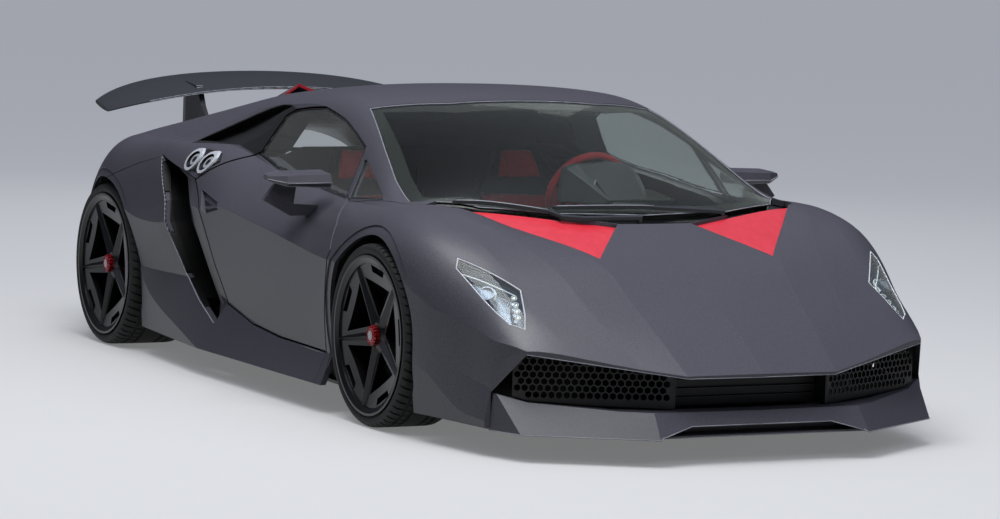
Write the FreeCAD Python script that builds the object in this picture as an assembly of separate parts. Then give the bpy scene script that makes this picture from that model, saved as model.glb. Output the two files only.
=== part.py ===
"""Mid-engined two-seat track supercar with a carbon body, as an assembly of its real pieces.

Frame: +X towards the nose, +Y to the car's left, +Z up, millimetres.
The origin is on the floor, in the middle of the car's length and width.
Pieces that come in pairs are drawn for the right side (-Y) and mirrored.
"""
import FreeCAD, Part
import functools
import math
import os

V = FreeCAD.Vector

# Driving dimensions of the whole car
WHEELBASE = 2560.0
FRONT_AXLE_X = 1120.0
REAR_AXLE_X = FRONT_AXLE_X - WHEELBASE
TAIL_X = -2280.0
FLOOR_Z = 96.0         # underside of the flat floor above the road
FLOOR_THICK = 12.0

# Panels
SKIN = 22.0            # thickness of a carbon body panel
SKIN_ROOM = 3.0        # what lies behind a panel starts this far below its inner face
GLASS = 6.0            # thickness of a window
GLASS_DEPTH = 4.0      # how far a window lies below the body's surface
DOOR_DEPTH = 72.0      # outer skin to inner skin of a door
DOOR_FLANGE = 18.0     # width of the thin flange round a door's inner box
PANEL_GAP = 3.0        # gap between fixed panels
SEAT = 0.3             # gap of a piece that is held at its edge or on the surface
DOOR_GAP = 8.0         # gap round a door and its glass
HANDLE_DEPTH = 16.0    # finger pocket in a door
FLANK_Y = 520.0        # cuts in a flank stop this far from the car's middle
SIDE_Y = 1200.0        # cuts start this far from the car's middle, outside the body
SCOOP_DEPTH = 150.0    # side intake body below the surface
BUTTRESS_DEPTH = 110.0
LAMP_DEPTH = 80.0      # depth of a headlamp's bowl
LAMP_LOW = 385.0       # a headlamp's opening stays above this height

# Wheels. x is the axle, face the tyre's outer side from the car's middle
WHEELS = {
    "front": dict(x=FRONT_AXLE_X, tyre_r=328.0, width=245.0, face=968.0,
                  lip_r=286.0, arch_r=358.0, disc_r=188.0),
    "rear": dict(x=REAR_AXLE_X, tyre_r=336.0, width=305.0, face=1000.0,
                 lip_r=292.0, arch_r=364.0, disc_r=180.0),
}
SPOKES = 5
FIRST_SPOKE = 45.0     # degrees up from level, seen from the right
STAR_LIP = 286.0       # lip radius that the openings of the star are drawn for
STAR_OPENING = [(62, 0), (187, -105), (187, 105)]
STAR_WINDOW = [(222, -44), (246, -56), (246, 56), (222, 44)]
NUT_FINS = 16
BEAD_DROP = 18.0       # rim lip above the tyre's seat
TYRE_FIT = 0.2         # between tyre and rim
RIM_WALL = 9.0
DISC_OFFSET = 12.0     # brake disc behind the middle of the wheel
DISC_THICK = 32.0
ARCH_BAND = 34.0       # flat band round a wheel opening
ARCH_STEP = 5.0        # and how far it lies below the body's surface

# Structure
TUB_DEPTH = 115.0      # the tub's outside below the body's surface
LINER_FOOT = 140.0     # lower edge of the wheel-house linings
LINER_WALL = 6.0
KINGPIN_Y = 765.0      # steering axis from the car's middle
ARM_RADIUS = 13.0

# The body's half sections, nose to tail. Heights z and half-widths y over the columns:
# x, spine z, (crown control), (crease), (roll control), (rail), (belt),
# (flank control), (side), (sill), (foot)
SECTIONS = (
    (2330, 250, (140, 246), (283, 241), (350, 231), (415, 220), (560, 196),
     (650, 178), (720, 150), (735, 120), (745, 90)),
    (2238, 312, (146, 307), (292, 301), (360, 289), (425, 277), (580, 255),
     (680, 243), (740, 215), (770, 160), (790, 95)),
    (2112, 397, (154, 391), (308, 385), (380, 373), (450, 360), (610, 336),
     (720, 322), (775, 300), (805, 190), (830, 98)),
    (2009, 462, (161, 458), (322, 453), (400, 444), (480, 433), (660, 405),
     (745, 390), (790, 370), (825, 215), (855, 100)),
    (1893, 533, (168, 532), (337, 528), (425, 520), (510, 512), (690, 485),
     (800, 470), (845, 395), (858, 235), (885, 100)),
    (1778, 604, (176, 605), (352, 606), (440, 598), (530, 588), (700, 560),
     (832, 548), (873, 430), (885, 260), (905, 100)),
    (1571, 702, (229, 700), (458, 692), (530, 696), (600, 693), (740, 682),
     (922, 650), (940, 480), (944, 300), (950, 100)),
    (1400, 768, (285, 762), (570, 742), (630, 756), (680, 755), (780, 745),
     (962, 724), (972, 550), (972, 320), (965, 100)),
    (1242, 827, (360, 824), (674, 791), (715, 793), (750, 788), (810, 778),
     (975, 745), (985, 565), (978, 320), (972, 102)),
    (1000, 922, (460, 915), (757, 794), (780, 792), (800, 785), (832, 775),
     (955, 742), (985, 562), (960, 280), (980, 104)),
    (700, 1035, (420, 1030), (700, 917), (738, 890), (765, 843), (825, 766),
     (925, 722), (980, 573), (935, 215), (985, 105)),
    (300, 1147, (380, 1144), (603, 1090), (655, 1065), (685, 1010), (808, 787),
     (905, 740), (985, 622), (930, 228), (992, 105)),
    (0, 1165, (360, 1165), (560, 1134), (620, 1118), (656, 1080), (797, 820),
     (900, 765), (987, 655), (930, 255), (995, 105)),
    (-300, 1152, (350, 1152), (545, 1122), (614, 1104), (664, 1066), (785, 850),
     (905, 800), (992, 670), (935, 320), (1000, 105)),
    (-600, 1112, (330, 1112), (550, 1090), (644, 1072), (702, 1016), (805, 893),
     (930, 855), (1000, 598), (945, 360), (1005, 107)),
    (-850, 1066, (320, 1066), (555, 1050), (702, 1020), (835, 910), (867, 886),
     (965, 850), (1008, 560), (955, 360), (1005, 110)),
    (-1150, 1010, (300, 1010), (525, 1000), (724, 972), (822, 905), (870, 878),
     (972, 842), (1016, 580), (985, 370), (1000, 115)),
    (-1440, 965, (260, 964), (460, 950), (665, 932), (774, 896), (842, 876),
     (995, 850), (1022.5, 620), (1000, 390), (985, 125)),
    (-1800, 917, (220, 916), (380, 902), (570, 886), (680, 850), (778, 808),
     (905, 725), (945, 500), (915, 340), (890, 160)),
    (-2100, 885, (180, 884), (330, 872), (460, 852), (570, 800), (670, 732),
     (795, 650), (832, 460), (820, 340), (800, 220)),
    (-2330, 865, (160, 864), (300, 852), (420, 832), (500, 770), (600, 690),
     (705, 605), (750, 440), (740, 340), (730, 260)),
)
# The strips between the lines above: a pair is straight across, a triple bends over its middle line
STRIPS = ((0, 1, 2), (2, 3, 4), (4, 5), (5, 6, 7), (7, 8), (8, 9))
FOOT_DROP = 6.0        # an inner form reaches this far below the outer one, so a skin is open below
NOSE_THIN = 0.2        # an inner form is held to this share of the way back from the nose

# Flat facets cut low into the flanks, each through three points of its plane, upper edge first
FACETS = (
    ((-1040, -978, 318), (-497, -997, 133), (-1060, -962, 108), -1440, -340),
    ((1580, -944, 249), (1888, -881, 122), (1478, -946, 94), 1400, 2010),
)
FACET_RISE = 60.0      # a facet's cutter reaches this far above its upper edge

# Right-hand plan outlines (x, y) on the body, from the middle of the car outwards
LIP = [(2250, 0), (2238, -292), (2009, -786), (1893, -858), (1880, -1100)]
CLAM_REAR = [(1460, 0), (1450, -140), (1238, -702), (1010, -790), (864, -812), (616, -830), (616, -1100)]
WINDSCREEN = [(402, 0), (387, -307), (302, -600), (624, -682), (817, -727), (1003, -756), (1250, -600),
              (1338, -363), (1385, 0)]
COWL = [(1330, 0), (1285, -370), (1195, -585), (960, -735), (975, -800), (1015, -812), (1260, -722),
        (1475, -155), (1490, 0)]
VENT = [(1236, -690), (1450, -150), (1697, -350)]
ENGINE_COVER = [(-1000, -250), (-1280, -330), (-1680, -260), (-1740, -120)]
HEADLAMP = [(1568, -840), (1644, -792), (1785, -700), (1884, -731), (1936, -756), (1889, -796), (1824, -815),
            (1756, -829), (1674, -845), (1599, -860)]

# Right-hand side outlines (x, z)
DOOR = [(616, 762), (730, 687), (787, 602), (776, 550), (745, 470), (718, 380), (706, 300), (700, 222),
        (267, 227), (3, 248), (-235, 300), (-328, 441), (-378, 570), (-410, 653), (-574, 752), (-506, 795),
        (-442, 828), (-363, 861), (-320, 876), (-11, 842), (300, 812), (550, 784)]
DOOR_WINDOW = [(565, 777), (532, 852), (498, 950), (375, 993), (242, 1034), (131, 1055), (19, 1071),
               (-116, 1060), (-216, 1047), (-282, 1021), (-312, 939), (-327, 870), (-127, 834), (119, 816),
               (373, 790)]
QUARTER_WINDOW = [(606, 773), (545, 906), (560, 912), (872, 790)]
HANDLE = [(-482, 720), (-261, 689), (-230, 663), (-370, 634)]
REAR_CLAM = [(-946, 1400), (-946, 819), (-1147, 778), (-1358, 711), (-1487, 676), (-1487, 0), (-2400, 0),
             (-2400, 1400)]
INTAKE_REAR = [(-943, 819), (-779, 655), (-706, 501), (-630, 368), (-470, 285), (-289, 212)]
INTAKE_FRONT = [(-243, 292), (-235, 300), (-328, 441), (-378, 570), (-410, 653), (-574, 752)]
SKIRT = [(703, 214), (267, 219), (3, 240), (-243, 292), (-289, 212), (-300, 0), (703, 0)]
BUTTRESS = [(-805, 882), (-730, 928), (-642, 974), (-560, 1012), (-477, 1040), (-393, 1059), (-290, 1067),
            (-205, 1052), (-272, 1018), (-302, 941), (-315, 862), (-359, 863), (-423, 876), (-518, 893),
            (-671, 889)]
FILLER = [(-726, 806), (-626, 782), (-548, 788), (-492, 831), (-534, 860), (-632, 869), (-730, 846)]

# Hollows of the two side openings, level by level. Columns: z, front edge (x, y), rear edge (x, y)
INTAKE_LEVELS = (
    (205, (-281, -975), (-289, -975)), (292, (-243, -945), (-478, -957)), (368, (-272, -950), (-630, -952)),
    (441, (-328, -960), (-668, -962)), (570, (-378, -984), (-742, -992)), (653, (-410, -997), (-779, -992)),
    (752, (-574, -950), (-870, -962)), (822, (-936, -944), (-948, -940)),
)
BUTTRESS_LEVELS = (
    (893, (-332, -772), (-800, -872)), (940, (-327, -742), (-708, -792)),
    (974, (-312, -720), (-642, -752)), (1012, (-298, -704), (-560, -716)),
    (1040, (-262, -694), (-477, -698)), (1062, (-228, -686), (-375, -690)),
)

# Front-view outlines (y, z)
INTAKE_MOUTH = [(-292, 292), (-786, 360), (-858, 222), (-858, 20)]
SPLITTER_TOP = [(0, 175), (-500, 178), (-760, 195), (-846, 218), (-950, 218), (-950, 0)]
TAIL_LAMP = [(-600, 640), (-480, 716), (-330, 704), (-350, 676), (-478, 686), (-590, 612)]

# Grille screens. The outer ones run in plan from the bumper corner to the inner fin
SCREEN_OUTER = V(1925, -815, 0)
SCREEN_INNER = V(2160, -300, 0)
SCREEN_EDGE = [(18, 214), (60, 200), (300, 186), (566, 181), (566, 318), (400, 341), (200, 374), (100, 387),
               (40, 380), (18, 330)]
SCREEN_THICK = 5.0
SCREEN_CELL = 26.0     # across the flats of a cell and its bar
SCREEN_BAR = 5.0
BACK_X = 2090.0        # black back plate between the fins

# Wing, right half from the tip inwards. Columns: y, leading x, trailing x, leading z, trailing z, thickness
WING_HALF = (
    (-818, -1892, -2046, 947, 980, 18),
    (-640, -1836, -2150, 993, 1043, 34),
    (-380, -1828, -2195, 1034, 1088, 46),
)
PYLON = [(-2060, 780), (-1740, 880), (-1835, 968), (-1888, 1055), (-1992, 1070), (-2050, 990)]
PYLON_PLAN = [(-1730, -397), (-1990, -380), (-2080, -397), (-2080, -403), (-1990, -424), (-1730, -403)]

# Exhaust and tail
TAIL_PANEL_X = -2250.0
TAIL_EDGE = [(-722, 500), (-732, 400), (-640, 360), (640, 360), (732, 400), (722, 500), (666, 610),
             (630, 650), (570, 700), (490, 760), (-490, 760), (-570, 700), (-630, 650), (-666, 610)]
TAIL_CELL = 54.0
TAIL_BAR = 10.0
OUTLET_Y = 130.0
OUTLET_Z = 640.0
OUTLET_RADIUS = 58.0
OUTLET_BORE = 52.0
FIN_YS = (-620, -400, -180, 180, 400, 620)
FIN_THICK = 8.0

# Roof scoops behind the cabin
SCOOP_WALL = 9.0

# Scuttle, and the wipers parked on it as plan points: the blade's two ends, then its arm to the pivot
COWL_DEPTH = 26.0
WIPER_BLADE = 10.0
WIPER_ARM = 14.0
WIPERS = (
    [(1196, -676), (1350, -372), (1391, -340), (1412, -262), (1427, -46)],
    [(1324, -338), (1352, 60), (1365, 330)],
)


def section_points(row):
    """Half section as (y, z) points from the spine down to the foot."""
    return [(0.0, float(row[1]))] + [(float(y), float(z)) for y, z in row[2:]]


def outward(segment):
    """Unit normal of a section segment, away from the body."""
    (ya, za), (yb, zb) = segment
    run = math.hypot(yb - ya, zb - za)
    return ((za - zb) / run, (yb - ya) / run)


def inset(points, depth):
    """The half section moved inwards by depth, with mitred corners; its foot stays open below."""
    moved = []
    last = len(points) - 1
    for i, (y, z) in enumerate(points):
        before = points[i - 1] if i else (-points[1][0], points[1][1])
        normals = [outward((before, (y, z)))]
        if i < last:
            normals.append(outward(((y, z), points[i + 1])))
        ny = sum(normal[0] for normal in normals)
        nz = sum(normal[1] for normal in normals)
        size = math.hypot(ny, nz)
        spread = max(0.5, (ny * normals[0][0] + nz * normals[0][1]) / size)
        reach = depth / spread / size
        moved.append((y - ny * reach if i else 0.0, z - nz * reach if i < last else z - FOOT_DROP))
    return moved


def feature_lines(depth, side):
    """The lines that run nose to tail over one side of the body, with knots in common."""
    nose = SECTIONS[0][0]
    xs = [row[0] for row in SECTIONS]
    spans = [(nose - x) / (nose - xs[-1]) for x in xs]
    halves = []
    for row in SECTIONS:
        thin = min(depth, NOSE_THIN * (nose + 50.0 - row[0]))
        halves.append(inset(section_points(row), thin) if depth else section_points(row))
    curves = []
    for line in range(len(halves[0])):
        curve = Part.BSplineCurve()
        places = [V(x, side * half[line][0], half[line][1]) for x, half in zip(xs, halves)]
        curve.interpolate(Points=places, Parameters=spans)
        curves.append(curve)
    return curves, halves


def strip_surface(rows):
    """Surface over two lines, or bent over the middle one of three."""
    degree = len(rows) - 1
    poles = [row.getPoles() for row in rows]
    surface = Part.BSplineSurface()
    surface.buildFromPolesMultsKnots(poles, (degree + 1, degree + 1), rows[0].getMultiplicities(),
                                     (0.0, 1.0), rows[0].getKnots(), False, False, degree, rows[0].Degree)
    return surface.toShape()


def end_face(x, half):
    """Flat face that closes the body at its nose or tail."""
    edges = []
    for side in (-1.0, 1.0):
        for strip in STRIPS:
            ends = [V(x, side * half[i][0], half[i][1]) for i in strip]
            bend = Part.BezierCurve()
            bend.setPoles(ends)
            edges.append(bend.toShape())
    foot_y, foot_z = half[-1]
    edges.append(Part.makeLine(V(x, -foot_y, foot_z), V(x, foot_y, foot_z)))
    return Part.Face(Part.Wire(Part.__sortEdges__(edges)))


def facet_cutter(facet, depth):
    """What a flat facet takes off the right flank, for a form moved inwards by depth."""
    a, b, c = (V(*point) for point in facet[:3])
    start, end = facet[3:]
    normal = (b - a).cross(c - a).normalize()
    if normal.y > 0:
        normal = normal * -1.0
    along_edge = (b - a).normalize()
    down = normal.cross(along_edge).normalize()
    if down.z > 0:
        down = down * -1.0
    base = a - normal * depth
    first = base + along_edge * ((start - a.x) / along_edge.x)
    last = base + along_edge * ((end - a.x) / along_edge.x)
    rise = down * -FACET_RISE
    fall = down * 600.0
    face = Part.Face(Part.makePolygon([first + rise, last + rise, last + fall, first + fall, first + rise]))
    return face.extrude(normal * 300.0)


@functools.lru_cache(maxsize=None)
def hull(depth=0.0):
    """The body's closed outer form, moved inwards by depth."""
    faces = []
    feet = []
    for side in (-1.0, 1.0):
        curves, halves = feature_lines(depth, side)
        for strip in STRIPS:
            faces.append(strip_surface([curves[i] for i in strip]))
        feet.append(curves[-1].toShape())
    faces.append(Part.makeRuledSurface(*feet))
    faces.append(end_face(SECTIONS[0][0], halves[0]))
    faces.append(end_face(SECTIONS[-1][0], halves[-1]))
    skin = Part.makeShell(faces)
    skin.sewShape()
    body = Part.makeSolid(skin)
    if body.Volume < 0:
        body.reverse()
    cutters = []
    for facet in FACETS:
        cutters += pair(facet_cutter(facet, depth))
    return body.cut(cutters)


def column(outline, low=-50.0, high=1400.0):
    """Upright prism over an outline of (x, y)."""
    points = [V(x, y, low) for x, y in outline + outline[:1]]
    return Part.Face(Part.makePolygon(points)).extrude(V(0, 0, high - low))


def across(outline, start=-SIDE_Y, end=0.0):
    """Prism across the car over an outline of (x, z)."""
    points = [V(x, start, z) for x, z in outline + outline[:1]]
    return Part.Face(Part.makePolygon(points)).extrude(V(0, end - start, 0))


def flank(outline):
    """Prism through the right flank only, over an outline of (x, z)."""
    return across(outline, -SIDE_Y, -FLANK_Y)


def lamp_column(outline):
    """Upright prism kept to the top of the front wing."""
    return column(outline, LAMP_LOW)


def along(outline, start=-2400.0, end=2400.0):
    """Prism along the car over an outline of (y, z)."""
    points = [V(start, y, z) for y, z in outline + outline[:1]]
    return Part.Face(Part.makePolygon(points)).extrude(V(end - start, 0, 0))


def box(x, y, z):
    """Box between pairs of limits."""
    return Part.makeBox(x[1] - x[0], y[1] - y[0], z[1] - z[0], V(x[0], y[0], z[0]))


def grown(outline, gap):
    """An outline moved outwards by gap, inwards if negative."""
    face = Part.Face(Part.makePolygon([V(a, b, 0) for a, b in outline + outline[:1]]))
    moved = face.makeOffset2D(gap, 2)
    return [(v.Point.x, v.Point.y) for v in moved.OuterWire.OrderedVertexes]


def mirrored(outline):
    """A right-hand outline of (x, y) with its left-hand half added, from its own end back."""
    return outline + [(x, -y) for x, y in reversed(outline) if y]


def both(outline):
    """A right-hand outline of (y, z) with its left-hand half added."""
    return outline + [(-y, z) for y, z in reversed(outline) if y]


def flip(shape):
    """The left-hand twin of a right-hand piece."""
    return shape.mirror(V(0, 0, 0), V(0, 1, 0))


def pair(shape):
    """Right-hand and left-hand pieces together."""
    return [shape, flip(shape)]


def rod(a, b, radius):
    """Round bar between two points."""
    a, b = V(*a), V(*b)
    return Part.makeCylinder(radius, (b - a).Length, a, b - a)


def largest(shape):
    """The biggest solid, so a sliver left by a cut doesn't stay with the piece."""
    return max(shape.Solids, key=lambda solid: solid.Volume)


def layer(zone, top, bottom):
    """The part of a zone between two depths under the body's surface."""
    return zone.common(hull(top)).cut(hull(bottom))


def turned(profile, x, y, z):
    """Solid of revolution about an axle, from a profile of (radius, distance inwards from the face)."""
    points = [V(x, y + inwards, z + radius) for radius, inwards in profile]
    return Part.Face(Part.makePolygon(points + points[:1])).revolve(V(x, y, z), V(0, 1, 0), 360)


def arch_opening(axle):
    """Opening for a wheel in the body's right side."""
    wheel = WHEELS[axle]
    x, radius, height = wheel["x"], wheel["arch_r"], wheel["tyre_r"]
    round_part = Part.makeCylinder(radius, SIDE_Y - FLANK_Y, V(x, -SIDE_Y, height), V(0, 1, 0))
    below = box((x - radius, x + radius), (-SIDE_Y, -FLANK_Y), (0, height))
    return round_part.fuse(below)


def arch_band(axle):
    """What the flat band round a wheel opening takes off the skin."""
    wheel = WHEELS[axle]
    centre = V(wheel["x"], -SIDE_Y, wheel["tyre_r"])
    disc = Part.makeCylinder(wheel["arch_r"] + ARCH_BAND, SIDE_Y - FLANK_Y, centre, V(0, 1, 0))
    return disc.cut(hull(ARCH_STEP))


def pane(zone):
    """Window pane that follows the body's surface."""
    return layer(zone, GLASS_DEPTH, GLASS_DEPTH + GLASS)


def hollow(levels, deep, bend_share, bend_depth, tuck, lid):
    """Space scooped out of a flank. It leaves the surface at the front edge, bends at a share of the way and
    dives to its full depth behind the rear edge, tucked under a lid there; a negative tuck leaves a wall."""
    wires = []
    for z, (front_x, front_y), (rear_x, rear_y) in levels:
        bend_x = front_x + bend_share * (rear_x - front_x)
        bend_y = front_y + bend_share * (rear_y - front_y)
        back_x = rear_x - min(tuck, 0.5 * (front_x - rear_x))
        outline = [(front_x, -SIDE_Y), (front_x, front_y), (bend_x, bend_y + bend_depth),
                   (back_x, rear_y + deep), (back_x, rear_y + lid), (rear_x, rear_y + lid), (rear_x, -SIDE_Y)]
        points = [V(x, y, z) for x, y in outline]
        wires.append(Part.makePolygon(points + points[:1]))
    return Part.makeLoft(wires, True, True)


def panels():
    """Skin panels of the body and the door."""
    skin = hull().cut(hull(SKIN))
    door_hole = across(grown(DOOR, DOOR_GAP))
    window_holes = pair(across(grown(DOOR_WINDOW, DOOR_GAP))) + pair(across(grown(QUARTER_WINDOW, SEAT)))
    clam_zone = mirrored(LIP + CLAM_REAR[::-1])
    intake = INTAKE_REAR + INTAKE_FRONT
    front_arch = [arch_opening("front"), arch_band("front")]
    rear_arch = [arch_opening("rear"), arch_band("rear")]
    found = {}

    skirt_notch = box((600.0, 706.0), (-1100.0, 1100.0), (-50.0, 222.0))
    cutters = [along(both(INTAKE_MOUTH), 1850.0), skirt_notch]
    for piece in [door_hole, lamp_column(HEADLAMP), column(VENT)] + front_arch:
        cutters += pair(piece)
    found["front_clam"] = largest(skin.common(column(clam_zone)).cut(cutters))

    low_line = [(-1000, 837), (-943, 823), (-560, 752), (-560, 715), (1100, 715), (1100, -50), (-1000, -50)]
    upper = skin.common(box((REAR_CLAM[0][0] + PANEL_GAP, 1100.0), (-1100, 1100), (0, 1400)))
    cutters = [column(grown(clam_zone, PANEL_GAP)), column(grown(mirrored(WINDSCREEN), PANEL_GAP))]
    cutters += [across(low_line, -SIDE_Y, SIDE_Y)] + window_holes
    for piece in (door_hole, flank(BUTTRESS), flank(intake)):
        cutters += pair(piece)
    found["upper_body"] = largest(upper.cut(cutters))

    quarter = INTAKE_REAR + [(-301, 0), (-1487, 0), (-1487, 673), (-1358, 708), (-1147, 775)]
    found["quarter_panel_right"] = largest(skin.common(across(quarter)).cut(rear_arch))

    rear = skin.common(across(REAR_CLAM, -SIDE_Y, SIDE_Y)).common(box((TAIL_X, 0), (-1100, 1100), (0, 1400)))
    cutters = [column(mirrored(grown(ENGINE_COVER, PANEL_GAP)), 500.0)]
    for piece in rear_arch:
        cutters += pair(piece)
    found["rear_clam"] = largest(rear.cut(cutters))

    found["skirt_right"] = largest(skin.common(across(SKIRT)).cut(front_arch))
    inner_box = layer(across(grown(DOOR, -DOOR_FLANGE)), SKIN - 2.0, DOOR_DEPTH)
    pocket = flank(HANDLE).cut(hull(HANDLE_DEPTH))
    door = skin.common(across(DOOR)).fuse(inner_box)
    found["door_right"] = largest(door.cut([window_holes[0], pocket]))
    return found


def glazing():
    """Windows and lamp lenses."""
    return {
        "door_glass_right": largest(pane(across(DOOR_WINDOW))),
        "quarter_glass_right": largest(pane(across(QUARTER_WINDOW))),
        "windscreen": largest(pane(column(mirrored(WINDSCREEN)))),
        "headlamp_lens_right": largest(layer(lamp_column(grown(HEADLAMP, -1.5)), 2.0, 6.0)),
    }


def engine_cover():
    """Louvred deck panel with rows of hexagonal vents."""
    holes = []
    for row, x in enumerate((-1130.0, -1270.0, -1410.0, -1550.0)):
        radius = 56.0 - 5.0 * row
        for y in (-radius * 1.9, 0.0, radius * 1.9):
            holes.append(column(ring_points(x - (0.0 if y else 60.0), y, radius, 6), 500.0))
    return largest(layer(column(mirrored(ENGINE_COVER), 500.0), 4.0, SKIN).cut(holes))


def ring_points(a, b, radius, count, turn=0.0):
    """Evenly spaced points on a circle."""
    steps = [math.radians(turn + 360.0 * k / count) for k in range(count)]
    return [(a + radius * math.cos(step), b + radius * math.sin(step)) for step in steps]


def side_intake():
    """Moulded body of the side intake, flush ahead and scooped inwards towards the rear wheel."""
    mouth = grown(INTAKE_REAR + INTAKE_FRONT, -SEAT)
    front_block = layer(flank(mouth), 0.0, SCOOP_DEPTH)
    behind = INTAKE_REAR[:-1] + [(-440, 305), (-560, 380), (-640, 520), (-700, 655), (-860, 800)]
    behind = grown([(x - 50 if i < 5 else x + 60, z) for i, (x, z) in enumerate(behind)], -1.0)
    rear_block = layer(flank(behind), SKIN + SKIN_ROOM, SCOOP_DEPTH)
    block = front_block.fuse(rear_block)
    space = hollow(INTAKE_LEVELS, 120.0, 0.4, 24.0, 40.0, SKIN + 8.0)
    return largest(block.cut([across(grown(DOOR, DOOR_GAP)), tub_form(-2.0), space]))


def buttress_intake():
    """Black moulding behind the side window, scooped inwards under the roof buttress."""
    zone = layer(flank(grown(BUTTRESS, -SEAT)), 0.0, BUTTRESS_DEPTH)
    door = [across(grown(outline, DOOR_GAP)) for outline in (DOOR, DOOR_WINDOW)]
    space = hollow(BUTTRESS_LEVELS, 84.0, 0.3, 20.0, -14.0, -200.0)
    return largest(zone.cut(door + [space]))


def headlamp_housing():
    """Bowl of a headlamp with its projector and a row of round lights."""
    outer = lamp_column(grown(HEADLAMP, 16.0))
    ring = outer.cut(lamp_column(grown(HEADLAMP, 8.0)))
    walls = layer(ring, SKIN + SKIN_ROOM, LAMP_DEPTH)
    back = layer(outer, LAMP_DEPTH - 8.0, LAMP_DEPTH)
    aim = V(0.62, -0.25, 0.74)
    lights = []
    foot = V(1716, -800, 520)
    projector = Part.makeCylinder(30.0, 90.0, foot - aim * 60.0, aim)
    bore = Part.makeCylinder(24.0, 12.0, foot + aim * 22.0, aim)
    lights.append(projector.cut(bore))
    for step in range(5):
        place = V(1812 + 20 * step, -744 - 6 * step, 498 - 17 * step)
        light = Part.makeCylinder(8.0, 70.0, place - aim * 50.0, aim)
        lights.append(light.cut(Part.makeCylinder(5.0, 6.0, place + aim * 15.0, aim)))
    lights = lights[0].fuse(lights[1:]).common(hull(12.0)).cut(hull(LAMP_DEPTH - 4.0))
    return largest(walls.fuse([back, lights]))


def tyre(axle):
    """Low-profile tyre of the right side, seated on the rim."""
    w = WHEELS[axle]
    width, top, seat = w["width"], w["tyre_r"], w["lip_r"] - BEAD_DROP + TYRE_FIT
    half = [(seat, 14.0), (top - 20.0, 0.0), (top, 26.0)]
    return turned(half + [(r, width - d) for r, d in reversed(half)], w["x"], -w["face"], top)


def spoke_ridge(angle, lip, x, y, z):
    """Sharp-ridged top of one spoke, out from the hub."""
    e = V(math.cos(angle), 0, math.sin(angle))
    n = V(-math.sin(angle), 0, math.cos(angle))
    centre = V(x, y, z)
    wires = []
    for radius, half_width, base, ridge in ((40.0, 30.0, 62.0, 27.0), (0.74 * lip, 24.0, 36.0, 11.0),
                                            (0.9 * lip, 15.0, 30.0, 7.0)):
        corners = []
        for side, depth in ((-half_width, base), (0.0, ridge), (half_width, base)):
            corners.append(centre + e * radius + n * side + V(0, depth, 0))
        wires.append(Part.makePolygon(corners + corners[:1]))
    return Part.makeLoft(wires, True, True)


def star_cutter(outline, angle, lip, x, y, z):
    """Opening of the star about one direction from the axle."""
    size = lip / STAR_LIP
    points = []
    for out, aside in outline:
        px = size * (out * math.cos(angle) - aside * math.sin(angle))
        pz = size * (out * math.sin(angle) + aside * math.cos(angle))
        points.append((x + px, z + pz))
    return across(points, y - 20.0, y + 200.0)


def rim(axle):
    """Star wheel with its hub, finned centre nut and brake disc."""
    w = WHEELS[axle]
    width, lip, bead = w["width"], w["lip_r"], w["lip_r"] - BEAD_DROP
    x, y, z = w["x"], -w["face"], w["tyre_r"]
    well = bead - 26.0
    half = [(lip, 0.0), (lip, 7.5), (bead, 13.8), (bead, 48.0), (well, 60.0)]
    inner = [(well - RIM_WALL, 64.0), (bead - RIM_WALL, 52.0), (bead - RIM_WALL, 9.0), (lip - RIM_WALL, 0.0)]
    profile = half + [(r, width - d) for r, d in reversed(half)]
    profile += [(r, width - d) for r, d in reversed(inner)] + inner
    barrel = turned(profile, x, y, z)
    dish = turned([(30, 48), (70, 42), (bead - 5, 15), (bead - 5, 32), (90, 72), (30, 90)], x, y, z)
    cutters = []
    ridges = []
    for k in range(SPOKES):
        spoke = math.radians(FIRST_SPOKE + k * 360.0 / SPOKES)
        between = spoke + math.pi / SPOKES
        cutters.append(star_cutter(STAR_OPENING, between, lip, x, y, z))
        cutters.append(star_cutter(STAR_WINDOW, between, lip, x, y, z))
        ridges.append(spoke_ridge(spoke, lip, x, y, z))
    star = dish.cut(cutters).fuse(ridges)
    disc_y = width / 2 + DISC_OFFSET
    disc_back = disc_y + DISC_THICK
    hub = turned([(0, 34), (46, 34), (66, 44), (66, 92), (78, 92), (78, disc_y), (w["disc_r"], disc_y),
                  (w["disc_r"], disc_back), (60, disc_back), (60, 110), (0, 110)], x, y, z)
    nut = turned([(0, 12), (17, 12), (21, 16), (28, 16), (30, 13), (37, 18), (37, 42), (0, 42)], x, y, z)
    slots = []
    for k in range(NUT_FINS):
        slot = box((x + 27.0, x + 40.0), (y, y + 34.0), (z - 2.4, z + 2.4))
        slot.rotate(V(x, y, z), V(0, 1, 0), k * 360.0 / NUT_FINS)
        slots.append(slot)
    return barrel.fuse([star, hub, nut.cut(slots)])


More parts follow.
